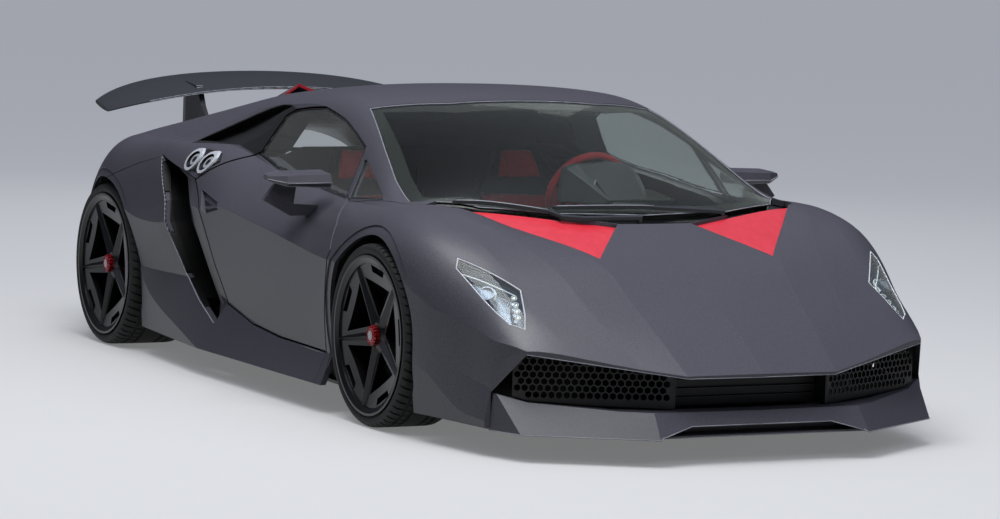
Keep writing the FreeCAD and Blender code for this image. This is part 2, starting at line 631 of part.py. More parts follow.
def knuckle(axle):
    """Upright with its stub axle and brake caliper, right side."""
    w = WHEELS[axle]
    x, y, z = w["x"], -w["face"], w["tyre_r"]
    disc_y = w["width"] / 2 + DISC_OFFSET
    behind = disc_y + DISC_THICK + 6.0
    stub = turned([(0, 112), (52, 112), (52, behind + 50), (0, behind + 50)], x, y, z)
    top, low = z + 150.0, z - 150.0
    sign = 1.0 if axle == "rear" else -1.0
    plate = [(x - 34, low), (x + 34, low), (x + 70, z - 30), (x + 70, z + 30), (x + 34, top), (x - 34, top),
             (x - 70, z + 30), (x - 70, z - 30)]
    upright = across(plate, y + behind, y + behind + 44.0)
    inside, reach = w["disc_r"] - 78.0, w["disc_r"] + 16.0
    ring = turned([(inside, disc_y - 26), (reach, disc_y - 26), (reach, disc_y + DISC_THICK + 30),
                   (inside, disc_y + DISC_THICK + 30)], x, y, z)
    wedge = across([(x, z), (x + sign * 260, z - 130), (x + sign * 260, z + 150)], y, 0.0)
    slot = turned([(0, disc_y - 2), (w["disc_r"] + 3, disc_y - 2), (w["disc_r"] + 3, disc_y + DISC_THICK + 2),
                   (0, disc_y + DISC_THICK + 2)], x, y, z)
    caliper = ring.common(wedge).cut(slot)
    arm_x = sorted((x, x + sign * 130.0))
    arm = box(arm_x, (y + behind + 8, y + behind + 30), (z - 30, z + 30))
    return largest(stub.fuse([upright, arm, caliper]).removeSplitter())


def liner(axle, gap, inner_y):
    """Wheel-house lining, wide inboard where a steered wheel swings."""
    w = WHEELS[axle]
    edge = w["arch_r"] + 6.0
    deep = w["tyre_r"] + gap
    back = w["face"] - inner_y
    wall = LINER_WALL
    profile = [(edge, 24), (edge + wall, 24), (deep + wall, 150), (deep + wall, back + wall),
               (0, back + wall), (0, back), (deep, back), (deep, 150)]
    shape = turned(profile, w["x"], -w["face"], w["tyre_r"]).common(hull(SKIN + SKIN_ROOM))
    return shape.common(box((w["x"] - 600, w["x"] + 600), (-1100, 0), (LINER_FOOT, 1000)))


def wishbones(axle, inner_y):
    """Upper and lower suspension arms of the right side."""
    w = WHEELS[axle]
    x, z = w["x"], w["tyre_r"]
    bars = []
    for height, reach in ((z + 172.0, 150.0), (z - 172.0, 170.0)):
        end = (x, -KINGPIN_Y, height)
        for step in (-reach, reach):
            bars.append(rod((x + step, -inner_y - 4, height), end, ARM_RADIUS))
        bars.append(Part.makeCylinder(24.0, 30.0, V(x, -KINGPIN_Y, height - 15.0)))
    return bars


def front_frame():
    """Crash structure with the wheel-house linings and suspension arms."""
    inner_y = 560.0
    outside = [(1950, 0), (1950, -330), (1700, -400), (1300, -400), (1016, -500), (1016, 0)]
    inside = [(1910, 0), (1910, -300), (1690, -370), (1310, -370), (1060, -460), (1060, 0)]
    beam = column(mirrored(outside), 130.0, 560.0).common(hull(70.0))
    beam = beam.cut(column(mirrored(inside), 142.0, 1000.0))
    ties = box((1100, 1140), (-570, -385), (300, 360))
    pieces = [liner("front", 70.0, inner_y), ties] + wishbones("front", inner_y)
    return beam.fuse(pieces + [flip(piece) for piece in pieces]).removeSplitter()


def rear_frame():
    """Engine cradle with the rear wheel-house linings and suspension arms."""
    inner_y = 640.0
    frame = column(mirrored([(-640, 0), (-640, -420), (-2050, -380), (-2050, 0)]), 130.0, 520.0)
    frame = frame.cut(column(mirrored([(-670, 0), (-670, -390), (-2020, -350), (-2020, 0)]), 142.0, 1000.0))
    frame = frame.cut(across([(-1700, 0), (-1700, 120), (-2300, 355), (-2300, 0)], -900.0, 900.0))
    ties = box((-1460, -1420), (-650, -375), (300, 360))
    pieces = [liner("rear", 34.0, inner_y), ties] + wishbones("rear", inner_y)
    return frame.fuse(pieces + [flip(piece) for piece in pieces]).removeSplitter()


@functools.lru_cache(maxsize=None)
def tub_form(gap=0.0):
    """Outside of the cabin tub, or with a negative gap a slightly larger form to keep clear of."""
    outline = [(1010, 0), (1010, -500), (960, -540), (708, -540), (690, -830), (-480, -855), (-505, -730),
               (-600, -640), (-600, 0)]
    return column(grown(mirrored(outline), -gap), 112.0 + gap, 640.0 - gap).common(hull(TUB_DEPTH + gap))


def tub():
    """Hollow cabin tub: floor, sills, bulkheads."""
    cabin = [(960, 0), (960, -500), (680, -500), (655, -735), (-440, -745), (-470, -700), (-560, -600),
             (-560, 0)]
    body = tub_form().cut(column(mirrored(cabin), 145.0, 1300.0))
    sill_top = box((-482, 700), (-1100, -700), (330, 1300))
    return largest(body.cut(pair(sill_top)))


def splitter():
    """Front lower facet with its raised middle and the thin blade below it."""
    foot = [(1500, 0), (1500, -905), (1885, -866), (2040, -816), (2279, -411), (2279, 0)]
    brow = [(1500, 0), (1500, -880), (1893, -852), (1905, -846), (2181, -400), (2181, 0)]
    wires = []
    for outline, height in ((foot, 93.0), (brow, 220.0)):
        points = [V(x, y, height) for x, y in mirrored(outline)]
        wires.append(Part.makePolygon(points + points[:1]))
    body = Part.makeLoft(wires, True, True).common(along(both(SPLITTER_TOP), 1500.0))
    notch = along(both([(0, 132), (-275, 132), (-395, 100), (0, 100)]), 2160.0)
    below = along(both([(0, 100.5), (-397, 100.5), (-411, 93), (-411, 0), (0, 0)]), 2238.0)
    hollow_part = [(1400, 0), (1400, -820), (1820, -800), (1960, -760), (2130, -380), (2130, 0)]
    body = body.cut([notch, below, column(mirrored(hollow_part), 118.0, 400.0)])
    corner = 1894.0
    ahead = body.common(box((corner, 2400), (-1100, 1100), (0, 400)))
    behind = body.common(box((1520, corner), (-1100, 1100), (0, 400))).common(hull(SKIN + 1.0))
    return largest(ahead.fuse(behind.cut(pair(arch_opening("front")))).removeSplitter())


def cell_centres(edge, openings, cell):
    """Centres of the cells that fit inside an outline and outside its openings."""
    room = Part.Face(Part.makePolygon([V(a, b, 0) for a, b in edge + edge[:1]])).makeOffset2D(-cell * 0.62, 2)
    for outline in openings:
        room = room.cut(column(grown(outline, cell * 0.62), -1.0, 1.0))
    limits = room.BoundBox
    centres = []
    row = 0
    b = limits.YMin
    while b <= limits.YMax:
        a = limits.XMin + (cell / 2 if row % 2 else 0.0)
        while a <= limits.XMax:
            if any(face.isInside(V(a, b, 0), 0.01, True) for face in room.Faces):
                centres.append((a, b))
            a += cell
        b += cell * math.sqrt(3.0) / 2
        row += 1
    return centres


def screen(edge, openings, plane, thickness, cell, bar):
    """Plate with hexagonal cells, drawn by distances from the plane's origin along and up."""
    origin, run, up = plane
    outlines = [edge] + openings
    for a, b in cell_centres(edge, openings, cell):
        outlines.append(ring_points(a, b, (cell - bar) / math.sqrt(3.0), 6, 30.0))
    wires = []
    for outline in outlines:
        points = [origin + run * a + up * b for a, b in outline]
        wires.append(Part.makePolygon(points + points[:1]))
    return Part.Face(wires, "Part::FaceMakerBullseye").extrude(run.cross(up) * thickness)


def nose_grille():
    """Intake screen: honeycomb outer parts, two upright fins and a black back plate between them."""
    plane = (SCREEN_OUTER, (SCREEN_INNER - SCREEN_OUTER).normalize(), V(0, 0, 1))
    outer = screen(SCREEN_EDGE, [], plane, SCREEN_THICK, SCREEN_CELL, SCREEN_BAR)
    inner_y = -SCREEN_INNER.y
    low = SCREEN_EDGE[3][1]
    fin = box((BACK_X, SCREEN_INNER.x + 6.0), (-inner_y - 3.0, -inner_y + 3.0), (low, 318.0))
    back = box((BACK_X - 6.0, BACK_X), (-inner_y - 3.0, inner_y + 3.0), (low, 340.0))
    slats = []
    for z in (210.0, 240.0, 270.0):
        slats.append(box((BACK_X - 1.0, BACK_X + 14.0), (-inner_y, inner_y), (z, z + 3.0)))
    return largest(back.fuse(slats + pair(outer) + pair(fin)))


def wing():
    """Rear wing on its two pylons."""
    wires = []
    other_half = tuple((-row[0],) + row[1:] for row in reversed(WING_HALF))
    for y, x_lead, x_trail, z_lead, z_trail, thick in WING_HALF + other_half:
        def at(share, lift):
            return V(x_lead - share * (x_lead - x_trail), y, z_lead + share * (z_trail - z_lead) + lift)
        top = Part.Arc(at(0, 0), at(0.4, thick * 0.3), at(1, 0)).toShape()
        rear = Part.makeLine(at(1, 0), at(1, -8.0))
        under = Part.Arc(at(1, -8.0), at(0.4, -thick * 0.7), at(0, -6.0)).toShape()
        lead = Part.makeLine(at(0, -6.0), at(0, 0))
        wires.append(Part.Wire([top, rear, under, lead]))
    blade = Part.makeLoft(wires, True, False)
    pylon = across(PYLON).common(column(PYLON_PLAN)).cut(hull(-SEAT))
    return largest(blade.fuse(pair(pylon)))


def tail_panel():
    """Honeycomb panel across the tail, with holes for the lamps and the exhaust."""
    lamp = grown(TAIL_LAMP, SEAT)
    openings = [lamp, [(-y, z) for y, z in reversed(lamp)]]
    for y in (-OUTLET_Y, OUTLET_Y):
        openings.append(ring_points(y, OUTLET_Z, OUTLET_RADIUS + 6.0, 20))
    plane = (V(TAIL_PANEL_X, 0, 0), V(0, 1, 0), V(0, 0, 1))
    return screen(TAIL_EDGE, openings, plane, -12.0, TAIL_CELL, TAIL_BAR)


def exhaust():
    """Silencer with two round outlets through the tail."""
    silencer = box((-2185, -2060), (-330, 330), (OUTLET_Z - 80, OUTLET_Z + 80))
    pipes = []
    bores = []
    for y in (-OUTLET_Y, OUTLET_Y):
        pipes.append(Part.makeCylinder(OUTLET_RADIUS, 95, V(-2180, y, OUTLET_Z), V(-1, 0, 0)))
        bores.append(Part.makeCylinder(OUTLET_BORE, 110, V(-2190, y, OUTLET_Z), V(-1, 0, 0)))
    return largest(silencer.fuse(pipes).cut(bores))


def undertray():
    """Flat floor that rises into a finned diffuser."""
    low, high = FLOOR_Z, FLOOR_Z + FLOOR_THICK
    outline = [(1495, 0), (1495, -500), (740, -560), (700, -880), (-1020, -880), (-1060, -660), (-1745, -660),
               (-1745, 0)]
    flat = column(mirrored(outline), low, high)
    ramp = across([(-1740, low + 1), (-2270, 318), (-2270, 326), (-1740, high + 1)], -720.0, 720.0)
    fin = [(-1780, high), (-2262, 318), (-2262, 150), (-2100, 120), (-1780, low + 4)]
    fins = [across(fin, y - FIN_THICK / 2, y + FIN_THICK / 2) for y in FIN_YS]
    return largest(flat.fuse([ramp] + fins).removeSplitter())


def dashboard():
    """Dashboard with its faceted instrument hood."""
    section = [(640, 560), (660, 700), (760, 745), (940, 735), (940, 645), (700, 645), (690, 560)]
    plan = [(955, 0), (955, -541), (707, -541), (707, -690), (600, -690), (600, 0)]
    dash = across(section, -690.0, 690.0).common(column(mirrored(plan)))
    dash = dash.cut(pair(box((655, 960), (-700, -497), (500, 645))))
    hood = across([(600, 690), (640, 800), (800, 770), (720, 680)], 160.0, 470.0)
    corners = [[(160, 760), (225, 830), (100, 830)], [(470, 760), (405, 830), (530, 830)]]
    hood = hood.cut([along(corner) for corner in corners])
    hood = hood.cut(across([(590, 705), (626, 785), (640, 780), (606, 700)], 180.0, 450.0))
    return largest(dash.fuse(hood).common(hull(95.0)))


def steering_wheel():
    """Steering wheel with a flat hub, three spokes and its column."""
    points = [V(r, 0, z) for r, z in ring_points(165.0, 0.0, 15.0, 8, 22.5)]
    ring = Part.Face(Part.makePolygon(points + points[:1])).revolve(V(0, 0, 0), V(0, 0, 1), 360)
    boss = Part.makeCylinder(38, 40, V(0, 0, -30))
    bars = [Part.makeBox(330, 26, 12, V(-165, -13, -6)), Part.makeBox(26, 165, 12, V(-13, -165, -6))]
    bars[0].rotate(V(0, 0, 0), V(0, 0, 1), 90)
    bars[1].rotate(V(0, 0, 0), V(0, 0, 1), -90)
    shaft = Part.makeCylinder(20, 285, V(0, 0, -310))
    whole = ring.fuse([boss, shaft] + bars)
    whole.rotate(V(0, 0, 0), V(0, 1, 0), -68)
    whole.translate(V(330, 325, 760))
    return largest(whole)


def seat():
    """Right-hand bucket seat with raised sides."""
    back = across([(-190, 250), (-90, 250), (-290, 900), (-400, 880)], -590.0, -110.0)
    base = across([(-190, 148), (330, 148), (330, 300), (-90, 250), (-190, 250)], -590.0, -110.0)
    sides = []
    bolster = [(-90, 250), (330, 300), (300, 350), (-50, 340), (-150, 700), (-230, 680)]
    for y in (-590.0, -160.0):
        sides.append(across(bolster, y, y + 50.0))
    shoulders = column([(-500, -90), (-200, -90), (-200, -610), (-500, -610)], 760.0, 1000.0)
    shoulders = shoulders.cut(along([(-480, 760), (-440, 1000), (-260, 1000), (-220, 760)]))
    return largest(back.fuse([base] + sides).cut(shoulders).removeSplitter())


def mirror():
    """Door mirror: a flat wedge on a broad folded stalk."""
    wires = []
    for y, outline in ((-862, [(556, 826), (540, 858), (448, 868), (430, 836), (450, 810), (540, 808)]),
                       (-1030, [(540, 824), (528, 852), (446, 864), (432, 840), (448, 818), (528, 812)]),
                       (-1090, [(490, 836), (484, 848), (446, 852), (438, 844), (446, 832), (484, 830)])):
        points = [V(x, y, z) for x, z in outline]
        wires.append(Part.makePolygon(points + points[:1]))
    blade = Part.makeLoft(wires, True, True)
    stalk = [(-965, 815), (-1046, 820), (-1096, 757), (-985, 698), (-870, 700), (-870, 736), (-975, 742)]
    stalk = along(stalk, 440.0, 462.0)
    return largest(blade.fuse(stalk).cut(hull(-SEAT)))


def strip(a, b, width):
    """Plan outline of a straight bar from a to b, a little longer than their distance."""
    along_bar = V(b[0] - a[0], b[1] - a[1], 0).normalize() * (width / 2)
    aside = V(-along_bar.y, along_bar.x, 0)
    start, end = V(a[0], a[1], 0) - along_bar, V(b[0], b[1], 0) + along_bar
    return [(point.x, point.y) for point in (start + aside, start - aside, end - aside, end + aside)]


def cowl():
    """Black scuttle at the foot of the windscreen, with the two wipers parked on it."""
    pieces = [layer(column(mirrored(COWL)), COWL_DEPTH, COWL_DEPTH + 8.0)]
    for path in WIPERS:
        bars = []
        for width, a, b in zip((WIPER_BLADE, WIPER_ARM, WIPER_ARM, WIPER_ARM), path, path[1:]):
            bars.append(layer(column(strip(a, b, width), 600.0, 900.0), -14.0, -3.0))
        post = Part.makeCylinder(9.0, 300.0, V(path[-1][0], path[-1][1], 600.0))
        pieces += bars + [layer(post, -14.0, COWL_DEPTH + 2.0)]
    return largest(pieces[0].fuse(pieces[1:]))


def filler_plate():
    """Raised plate with two round couplings on the right shoulder."""
    plate = layer(flank(FILLER), -4.0, -SEAT)
    rings = []
    for x, z in ((-668.0, 826.0), (-560.0, 822.0)):
        centre = V(x, -SIDE_Y, z)
        ring = Part.makeCylinder(44.0, 400.0, centre, V(0, 1, 0))
        ring = ring.cut(Part.makeCylinder(32.0, 400.0, centre, V(0, 1, 0)))
        rings.append(layer(ring, -11.0, -2.0))
    return largest(plate.fuse(rings))


def scoop_form(inset_by):
    """Roof scoop's outer form, or with an inset its open channel."""
    front = [(-525, 1010), (-505, 1062), (-415, 1123), (-330, 1090), (-325, 1010)]
    rear = [(-480, 960), (-465, 995), (-415, 1016), (-372, 1000), (-365, 960)]
    wires = []
    for x, outline in ((-790 + inset_by, front), (-1160 + 3 * inset_by, rear)):
        points = [V(x, y, z) for y, z in (grown(outline, -inset_by) if inset_by else outline)]
        wires.append(Part.makePolygon(points + points[:1]))
    return Part.makeLoft(wires, True, True)


def roof_scoop():
    """Open channel on the buttress behind the roof, right side."""
    return largest(scoop_form(0.0).cut(scoop_form(SCOOP_WALL)).cut(hull(-SEAT)))


def single_pieces():
    """Every node that isn't a skin panel or a window, by name."""
    found = {
        "bonnet_vent_right": largest(layer(column(grown(VENT, -SEAT)), 14.0, 20.0)),
        "engine_cover": engine_cover(),
        "headlamp_housing_right": headlamp_housing(),
        "intake_duct_right": side_intake(),
        "buttress_duct_right": buttress_intake(),
        "tail_panel": tail_panel(),
        "tail_lamp_right": along(TAIL_LAMP, -2272.0, -2240.0).common(hull(SKIN + 1.0)),
        "exhaust": exhaust(),
        "undertray": undertray(),
        "dashboard": dashboard(),
        "steering_wheel": steering_wheel(),
        "seat_right": seat(),
        "engine": box((-1300, -680), (-300, 300), (200, 700)),
        "mirror_right": mirror(),
        "cowl": cowl(),
        "filler_plate": filler_plate(),
        "roof_scoop_right": roof_scoop(),
        "wing": wing(),
        "tub": tub(),
        "splitter": splitter(),
        "nose_grille": nose_grille(),
        "front_frame": front_frame(),
        "rear_frame": rear_frame(),
    }
    for axle in WHEELS:
        found[axle + "_tyre_right"] = tyre(axle)
        found[axle + "_rim_right"] = rim(axle)
        found[axle + "_knuckle_right"] = knuckle(axle)
    return found


def main():
    os.makedirs("parts", exist_ok=True)
    found = {**panels(), **glazing(), **single_pieces()}
    for name, shape in list(found.items()):
        if name.endswith("_right"):
            found[name[:-5] + "left"] = flip(shape)
    for name, shape in found.items():
        shape.exportStep("parts/" + name + ".step")


main()
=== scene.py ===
"""Looks for the mid-engined track supercar: finishes, tyres, lamps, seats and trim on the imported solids."""

import math

import bmesh
import bpy
from mathutils import Matrix, Vector
from mathutils.bvhtree import BVHTree


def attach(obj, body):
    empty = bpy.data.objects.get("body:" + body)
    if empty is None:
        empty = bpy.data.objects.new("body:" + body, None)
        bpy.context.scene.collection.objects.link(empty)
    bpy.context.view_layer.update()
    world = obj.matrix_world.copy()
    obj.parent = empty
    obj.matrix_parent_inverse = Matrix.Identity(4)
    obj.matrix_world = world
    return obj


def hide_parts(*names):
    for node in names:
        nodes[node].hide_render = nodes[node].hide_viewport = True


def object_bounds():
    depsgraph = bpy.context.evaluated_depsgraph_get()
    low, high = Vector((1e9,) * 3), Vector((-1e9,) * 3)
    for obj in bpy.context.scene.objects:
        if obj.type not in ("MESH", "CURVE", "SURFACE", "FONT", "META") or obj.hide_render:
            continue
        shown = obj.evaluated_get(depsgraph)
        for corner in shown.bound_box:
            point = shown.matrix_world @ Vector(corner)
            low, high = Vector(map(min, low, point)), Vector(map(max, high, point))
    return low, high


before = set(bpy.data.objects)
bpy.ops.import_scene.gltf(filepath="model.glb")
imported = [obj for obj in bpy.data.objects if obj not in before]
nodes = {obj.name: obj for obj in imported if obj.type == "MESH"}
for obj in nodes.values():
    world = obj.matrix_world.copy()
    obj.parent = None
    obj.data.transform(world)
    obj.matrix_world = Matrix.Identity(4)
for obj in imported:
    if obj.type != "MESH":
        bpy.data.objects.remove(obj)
cad_low, cad_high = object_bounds()
SIDES = {"right": -1.0, "left": 1.0}
MM = 0.001

# Wheels in metres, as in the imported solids: face is the tyre's outer side from the car's middle
WHEELS = {
    "front": dict(x=1.120, radius=0.328, width=0.245, face=0.968, bead=0.2682, disc=0.188),
    "rear": dict(x=-1.440, radius=0.336, width=0.305, face=1.000, bead=0.2742, disc=0.180),
}
FRONT = WHEELS["front"]
DISC_BEHIND = 0.012     # brake disc behind the middle of the wheel
NUT_RADIUS = 0.0385     # red finned centre nut
NUT_BARE = 0.0175       # its bare middle
GLASS = 0.006           # thickness of a lamp cover
OUTSIDE = 1.3           # rays that look for a surface start this far out, or up
SHARP = 0.6             # an edge that folds by more radians than this is sharp
WELD = 2e-5             # points nearer to each other than this are joined


# Materials

def linear(hex_colour):
    """An sRGB hex colour as linear red, green, blue and alpha."""
    parts = [int(hex_colour[i:i + 2], 16) / 255.0 for i in (1, 3, 5)]
    return [c / 12.92 if c <= 0.04045 else ((c + 0.055) / 1.055) ** 2.4 for c in parts] + [1.0]


def add(tree, kind, settings=None, links=None):
    """A node with its settings, sockets by name or number, and its incoming links."""
    node = tree.nodes.new(kind)
    for key, value in (settings or {}).items():
        if isinstance(key, int) or key in node.inputs:
            node.inputs[key].default_value = value
        else:
            setattr(node, key, value)
    for key, source in (links or {}).items():
        tree.links.new(source, node.inputs[key])
    return node


def finish(name, **settings):
    """A new material with its shader set, its tree, and the shader."""
    material = bpy.data.materials.new(name)
    material.use_nodes = True
    shader = material.node_tree.nodes["Principled BSDF"]
    for key, value in settings.items():
        key = key.replace("_", " ")
        shader.inputs[key].default_value = linear(value) if isinstance(value, str) else value
    return material, material.node_tree, shader


def grain(tree, shader, low, high, grain_mm, bump_mm=0.0, roughness=(0.4, 0.5), edge_mm=0.0, detail=3.0):
    """Colour between two tones by fine noise in object space, with matching bump and roughness.
    A worn or moulded edge has its corner eased by edge_mm. Gives the colour socket for later masks."""
    spot = add(tree, "ShaderNodeTexCoord").outputs["Object"]
    noise = add(tree, "ShaderNodeTexNoise", {"Scale": 1000.0 / grain_mm, "Detail": detail, "Roughness": 0.6},
                {"Vector": spot})
    ramp = add(tree, "ShaderNodeValToRGB", links={"Fac": noise.outputs["Fac"]})
    ramp.color_ramp.elements[0].position = 0.35
    ramp.color_ramp.elements[1].position = 0.65
    ramp.color_ramp.elements[0].color = linear(low)
    ramp.color_ramp.elements[1].color = linear(high)
    tree.links.new(ramp.outputs["Color"], shader.inputs["Base Color"])
    spread = add(tree, "ShaderNodeMapRange", {"To Min": roughness[0], "To Max": roughness[1]},
                 {"Value": noise.outputs["Fac"]})
    tree.links.new(spread.outputs["Result"], shader.inputs["Roughness"])
    normal = None
    if edge_mm:
        normal = add(tree, "ShaderNodeBevel", {"samples": 4, "Radius": edge_mm * MM}).outputs["Normal"]
    if bump_mm:
        links = {"Height": noise.outputs["Fac"]}
        if normal:
            links["Normal"] = normal
        bump = add(tree, "ShaderNodeBump", {"Strength": 0.5, "Distance": bump_mm * MM}, links)
        normal = bump.outputs["Normal"]
    if normal:
        tree.links.new(normal, shader.inputs["Normal"])
    return ramp.outputs["Color"]


def beyond(tree, direction, limit, source=None):
    """1 where a point, or another value, lies further along a direction than a limit."""
    if source is None:
        spot = add(tree, "ShaderNodeTexCoord").outputs["Object"]
        reach = add(tree, "ShaderNodeVectorMath", {"operation": "DOT_PRODUCT", 1: direction}, {0: spot})
        source = reach.outputs["Value"]
    return add(tree, "ShaderNodeMath", {"operation": "GREATER_THAN", 1: limit}, {0: source}).outputs[0]


def both_of(tree, first, second, operation="MULTIPLY"):
    """Two masks together."""
    return add(tree, "ShaderNodeMath", {"operation": operation}, {0: first, 1: second}).outputs[0]


def paint(tree, shader, mask, colour):
    """Another colour where the mask is 1."""
    under = shader.inputs["Base Color"].links[0].from_socket
    mix = add(tree, "ShaderNodeMix", {"data_type": "RGBA", 7: linear(colour)}, {0: mask, 6: under})
    tree.links.new(mix.outputs[2], shader.inputs["Base Color"])


def axle_distance(tree, centre):
    """Distance from an axis across the car, and the distance from the car's middle."""
    spot = add(tree, "ShaderNodeTexCoord").outputs["Object"]
    moved = add(tree, "ShaderNodeVectorMath", {"operation": "SUBTRACT", 1: centre}, {0: spot})
    flat = {"operation": "MULTIPLY", 1: (1.0, 0.0, 1.0)}
    level = add(tree, "ShaderNodeVectorMath", flat, {0: moved.outputs[0]})
    radius = add(tree, "ShaderNodeVectorMath", {"operation": "LENGTH"}, {0: level.outputs[0]})
    across = add(tree, "ShaderNodeSeparateXYZ", links={0: spot}).outputs["Y"]
    apart = add(tree, "ShaderNodeMath", {"operation": "ABSOLUTE"}, {0: across})
    return radius.outputs["Value"], apart.outputs[0]


def within(tree, value, low, high):
    """1 where a value lies between two limits."""
    above = beyond(tree, None, low, value)
    below = add(tree, "ShaderNodeMath", {"operation": "LESS_THAN", 1: high}, {0: value}).outputs[0]
    return both_of(tree, above, below)


def satin_carbon(name):
    """Satin lacquer over short-fibre carbon: dark grey with a violet cast, broad soft highlights, and a faint
    fleck of fibre ends. The fleck is drawn at 5 mm so that it shows."""
    material, tree, shader = finish(name, Metallic=0.0, Specular_IOR_Level=0.55)
    grain(tree, shader, "#403F46", "#514F58", 5.0, 0.02, (0.34, 0.44), 2.5)
    return material, tree, shader


def window(name, tint, bend):
    """Smooth thin glazing that lets the lamps through to what is behind it. A low IOR stands for an
    anti-glare coating, and keeps what is behind it in its place."""
    material, tree, shader = finish(name, Base_Color=tint, Roughness=0.01, IOR=bend, Transmission_Weight=1.0)
    shadow = add(tree, "ShaderNodeLightPath").outputs["Is Shadow Ray"]
    clear = add(tree, "ShaderNodeBsdfTransparent", {"Color": linear(tint)})
    both = add(tree, "ShaderNodeMixShader", links={0: shadow, 1: shader.outputs[0], 2: clear.outputs[0]})
    tree.links.new(both.outputs[0], tree.nodes["Material Output"].inputs["Surface"])
    return material


# Finishes that are two tones of grain: key, name, shader settings, both tones, and the rest as grain takes it
PLAIN_FINISHES = (
    # The same carbon left darker on aerodynamic parts
    ("carbon_dark", "raw_satin_carbon", {"Metallic": 0.0},
     "#202023", "#2C2C30", 5.0, 0.02, (0.38, 0.5), 2.5),
    # Structure under the skin: raw carbon weave without lacquer
    ("structure", "raw_structural_carbon", {"Metallic": 0.0}, "#101011", "#1A1A1B", 8.0, 0.05, (0.55, 0.7)),
    # Satin red paint: a broad pink highlight, a little darker in the grain
    ("red", "satin_red_paint", {"Coat_Weight": 0.25, "Coat_Roughness": 0.3},
     "#E22A3A", "#EC3444", 30.0, 0.0, (0.3, 0.38), 1.5),
    # Injection-moulded nylon: near black, dull
    ("black", "moulded_black_nylon", {}, "#0B0B0C", "#131314", 2.0, 0.05, (0.5, 0.65)),
    # Dashboard: dull black flock
    ("dashboard", "flocked_black_moulding", {}, "#0D0D0E", "#151516", 3.0, 0.1, (0.55, 0.7), 2.0),
    # Instrument hood: satin grey paint on carbon
    ("hood", "satin_grey_hood", {}, "#3A3B40", "#45464B", 5.0, 0.02, (0.35, 0.45)),
    # Gloss black of wipers and window seals
    ("gloss_black", "gloss_black_enamel", {"Coat_Weight": 0.5, "Coat_Roughness": 0.08},
     "#08080A", "#0E0E10", 10.0, 0.0, (0.2, 0.3)),
    # Tyre compound: brown-black, dusty on the tread
    ("tyre", "tyre_rubber", {}, "#0A0A0A", "#121211", 6.0, 0.1, (0.6, 0.78)),
    # Sand-cast alloy of the power unit's covers
    ("alloy", "cast_alloy", {"Metallic": 0.9}, "#5B5C5E", "#77787A", 5.0, 0.1, (0.42, 0.55), 2.0),
    # Thin steel pipe, straw and blue from heat
    ("steel", "heat_stained_steel", {"Metallic": 1.0}, "#6E6258", "#9A938C", 25.0, 0.0, (0.25, 0.38), 1.0),
    # Painted highlight: pale lines on sharp carbon edges, the windscreen's edge and the wiper blades, paler
    # than the faces beside them
    ("edge", "rubbed_carbon_edge", {}, "#9C9EA6", "#ACAEB6", 6.0, 0.0, (0.25, 0.35)),
    # Painted highlight: a near-white satin line along the upper edge of the lamp covers
    ("bright_edge", "satin_silver_enamel", {"Metallic": 0.2}, "#E4E7EC", "#F0F2F5", 6.0, 0.0, (0.25, 0.35)),
    # Polished chrome of the domes in the lamps' round elements
    ("chrome", "polished_chrome", {"Metallic": 1.0}, "#C9CBCC", "#D8DADA", 8.0, 0.0, (0.08, 0.14)),
    # Lamp bowl: cool grey vacuum-metallised moulding
    ("lamp_grey", "lamp_reflector_lacquer", {"Metallic": 0.45},
     "#6F778A", "#818A9E", 20.0, 0.0, (0.25, 0.35), 1.5),
    # Light-emitting element behind a white diffuser, unlit, with a faint painted glow
    ("diffuser", "white_lamp_diffuser", {"Emission_Color": "#E8EEF6", "Emission_Strength": 0.15},
     "#D4D9DF", "#E2E6EA", 6.0, 0.0, (0.3, 0.4)),
    # Red acrylic of the tail lamps: glossy, with a faint glow of its own
    ("red_lens", "red_lamp_acrylic",
     {"Coat_Weight": 0.8, "Coat_Roughness": 0.05, "Emission_Color": "#8A0A10", "Emission_Strength": 0.2},
     "#7A0A12", "#92101C", 15.0, 0.0, (0.12, 0.2)),
    # Red microsuede: soft sheen, short nap that clouds where it is brushed
    ("suede", "red_microsuede", {"Sheen_Weight": 0.5, "Sheen_Roughness": 0.4},
     "#CC2632", "#E43845", 12.0, 0.3, (0.78, 0.92)),
    # Silvered mirror glass
    ("mirror", "silvered_mirror", {"Metallic": 1.0}, "#C4CCD2", "#CBD3D8", 40.0, 0.0, (0.02, 0.04)),
)


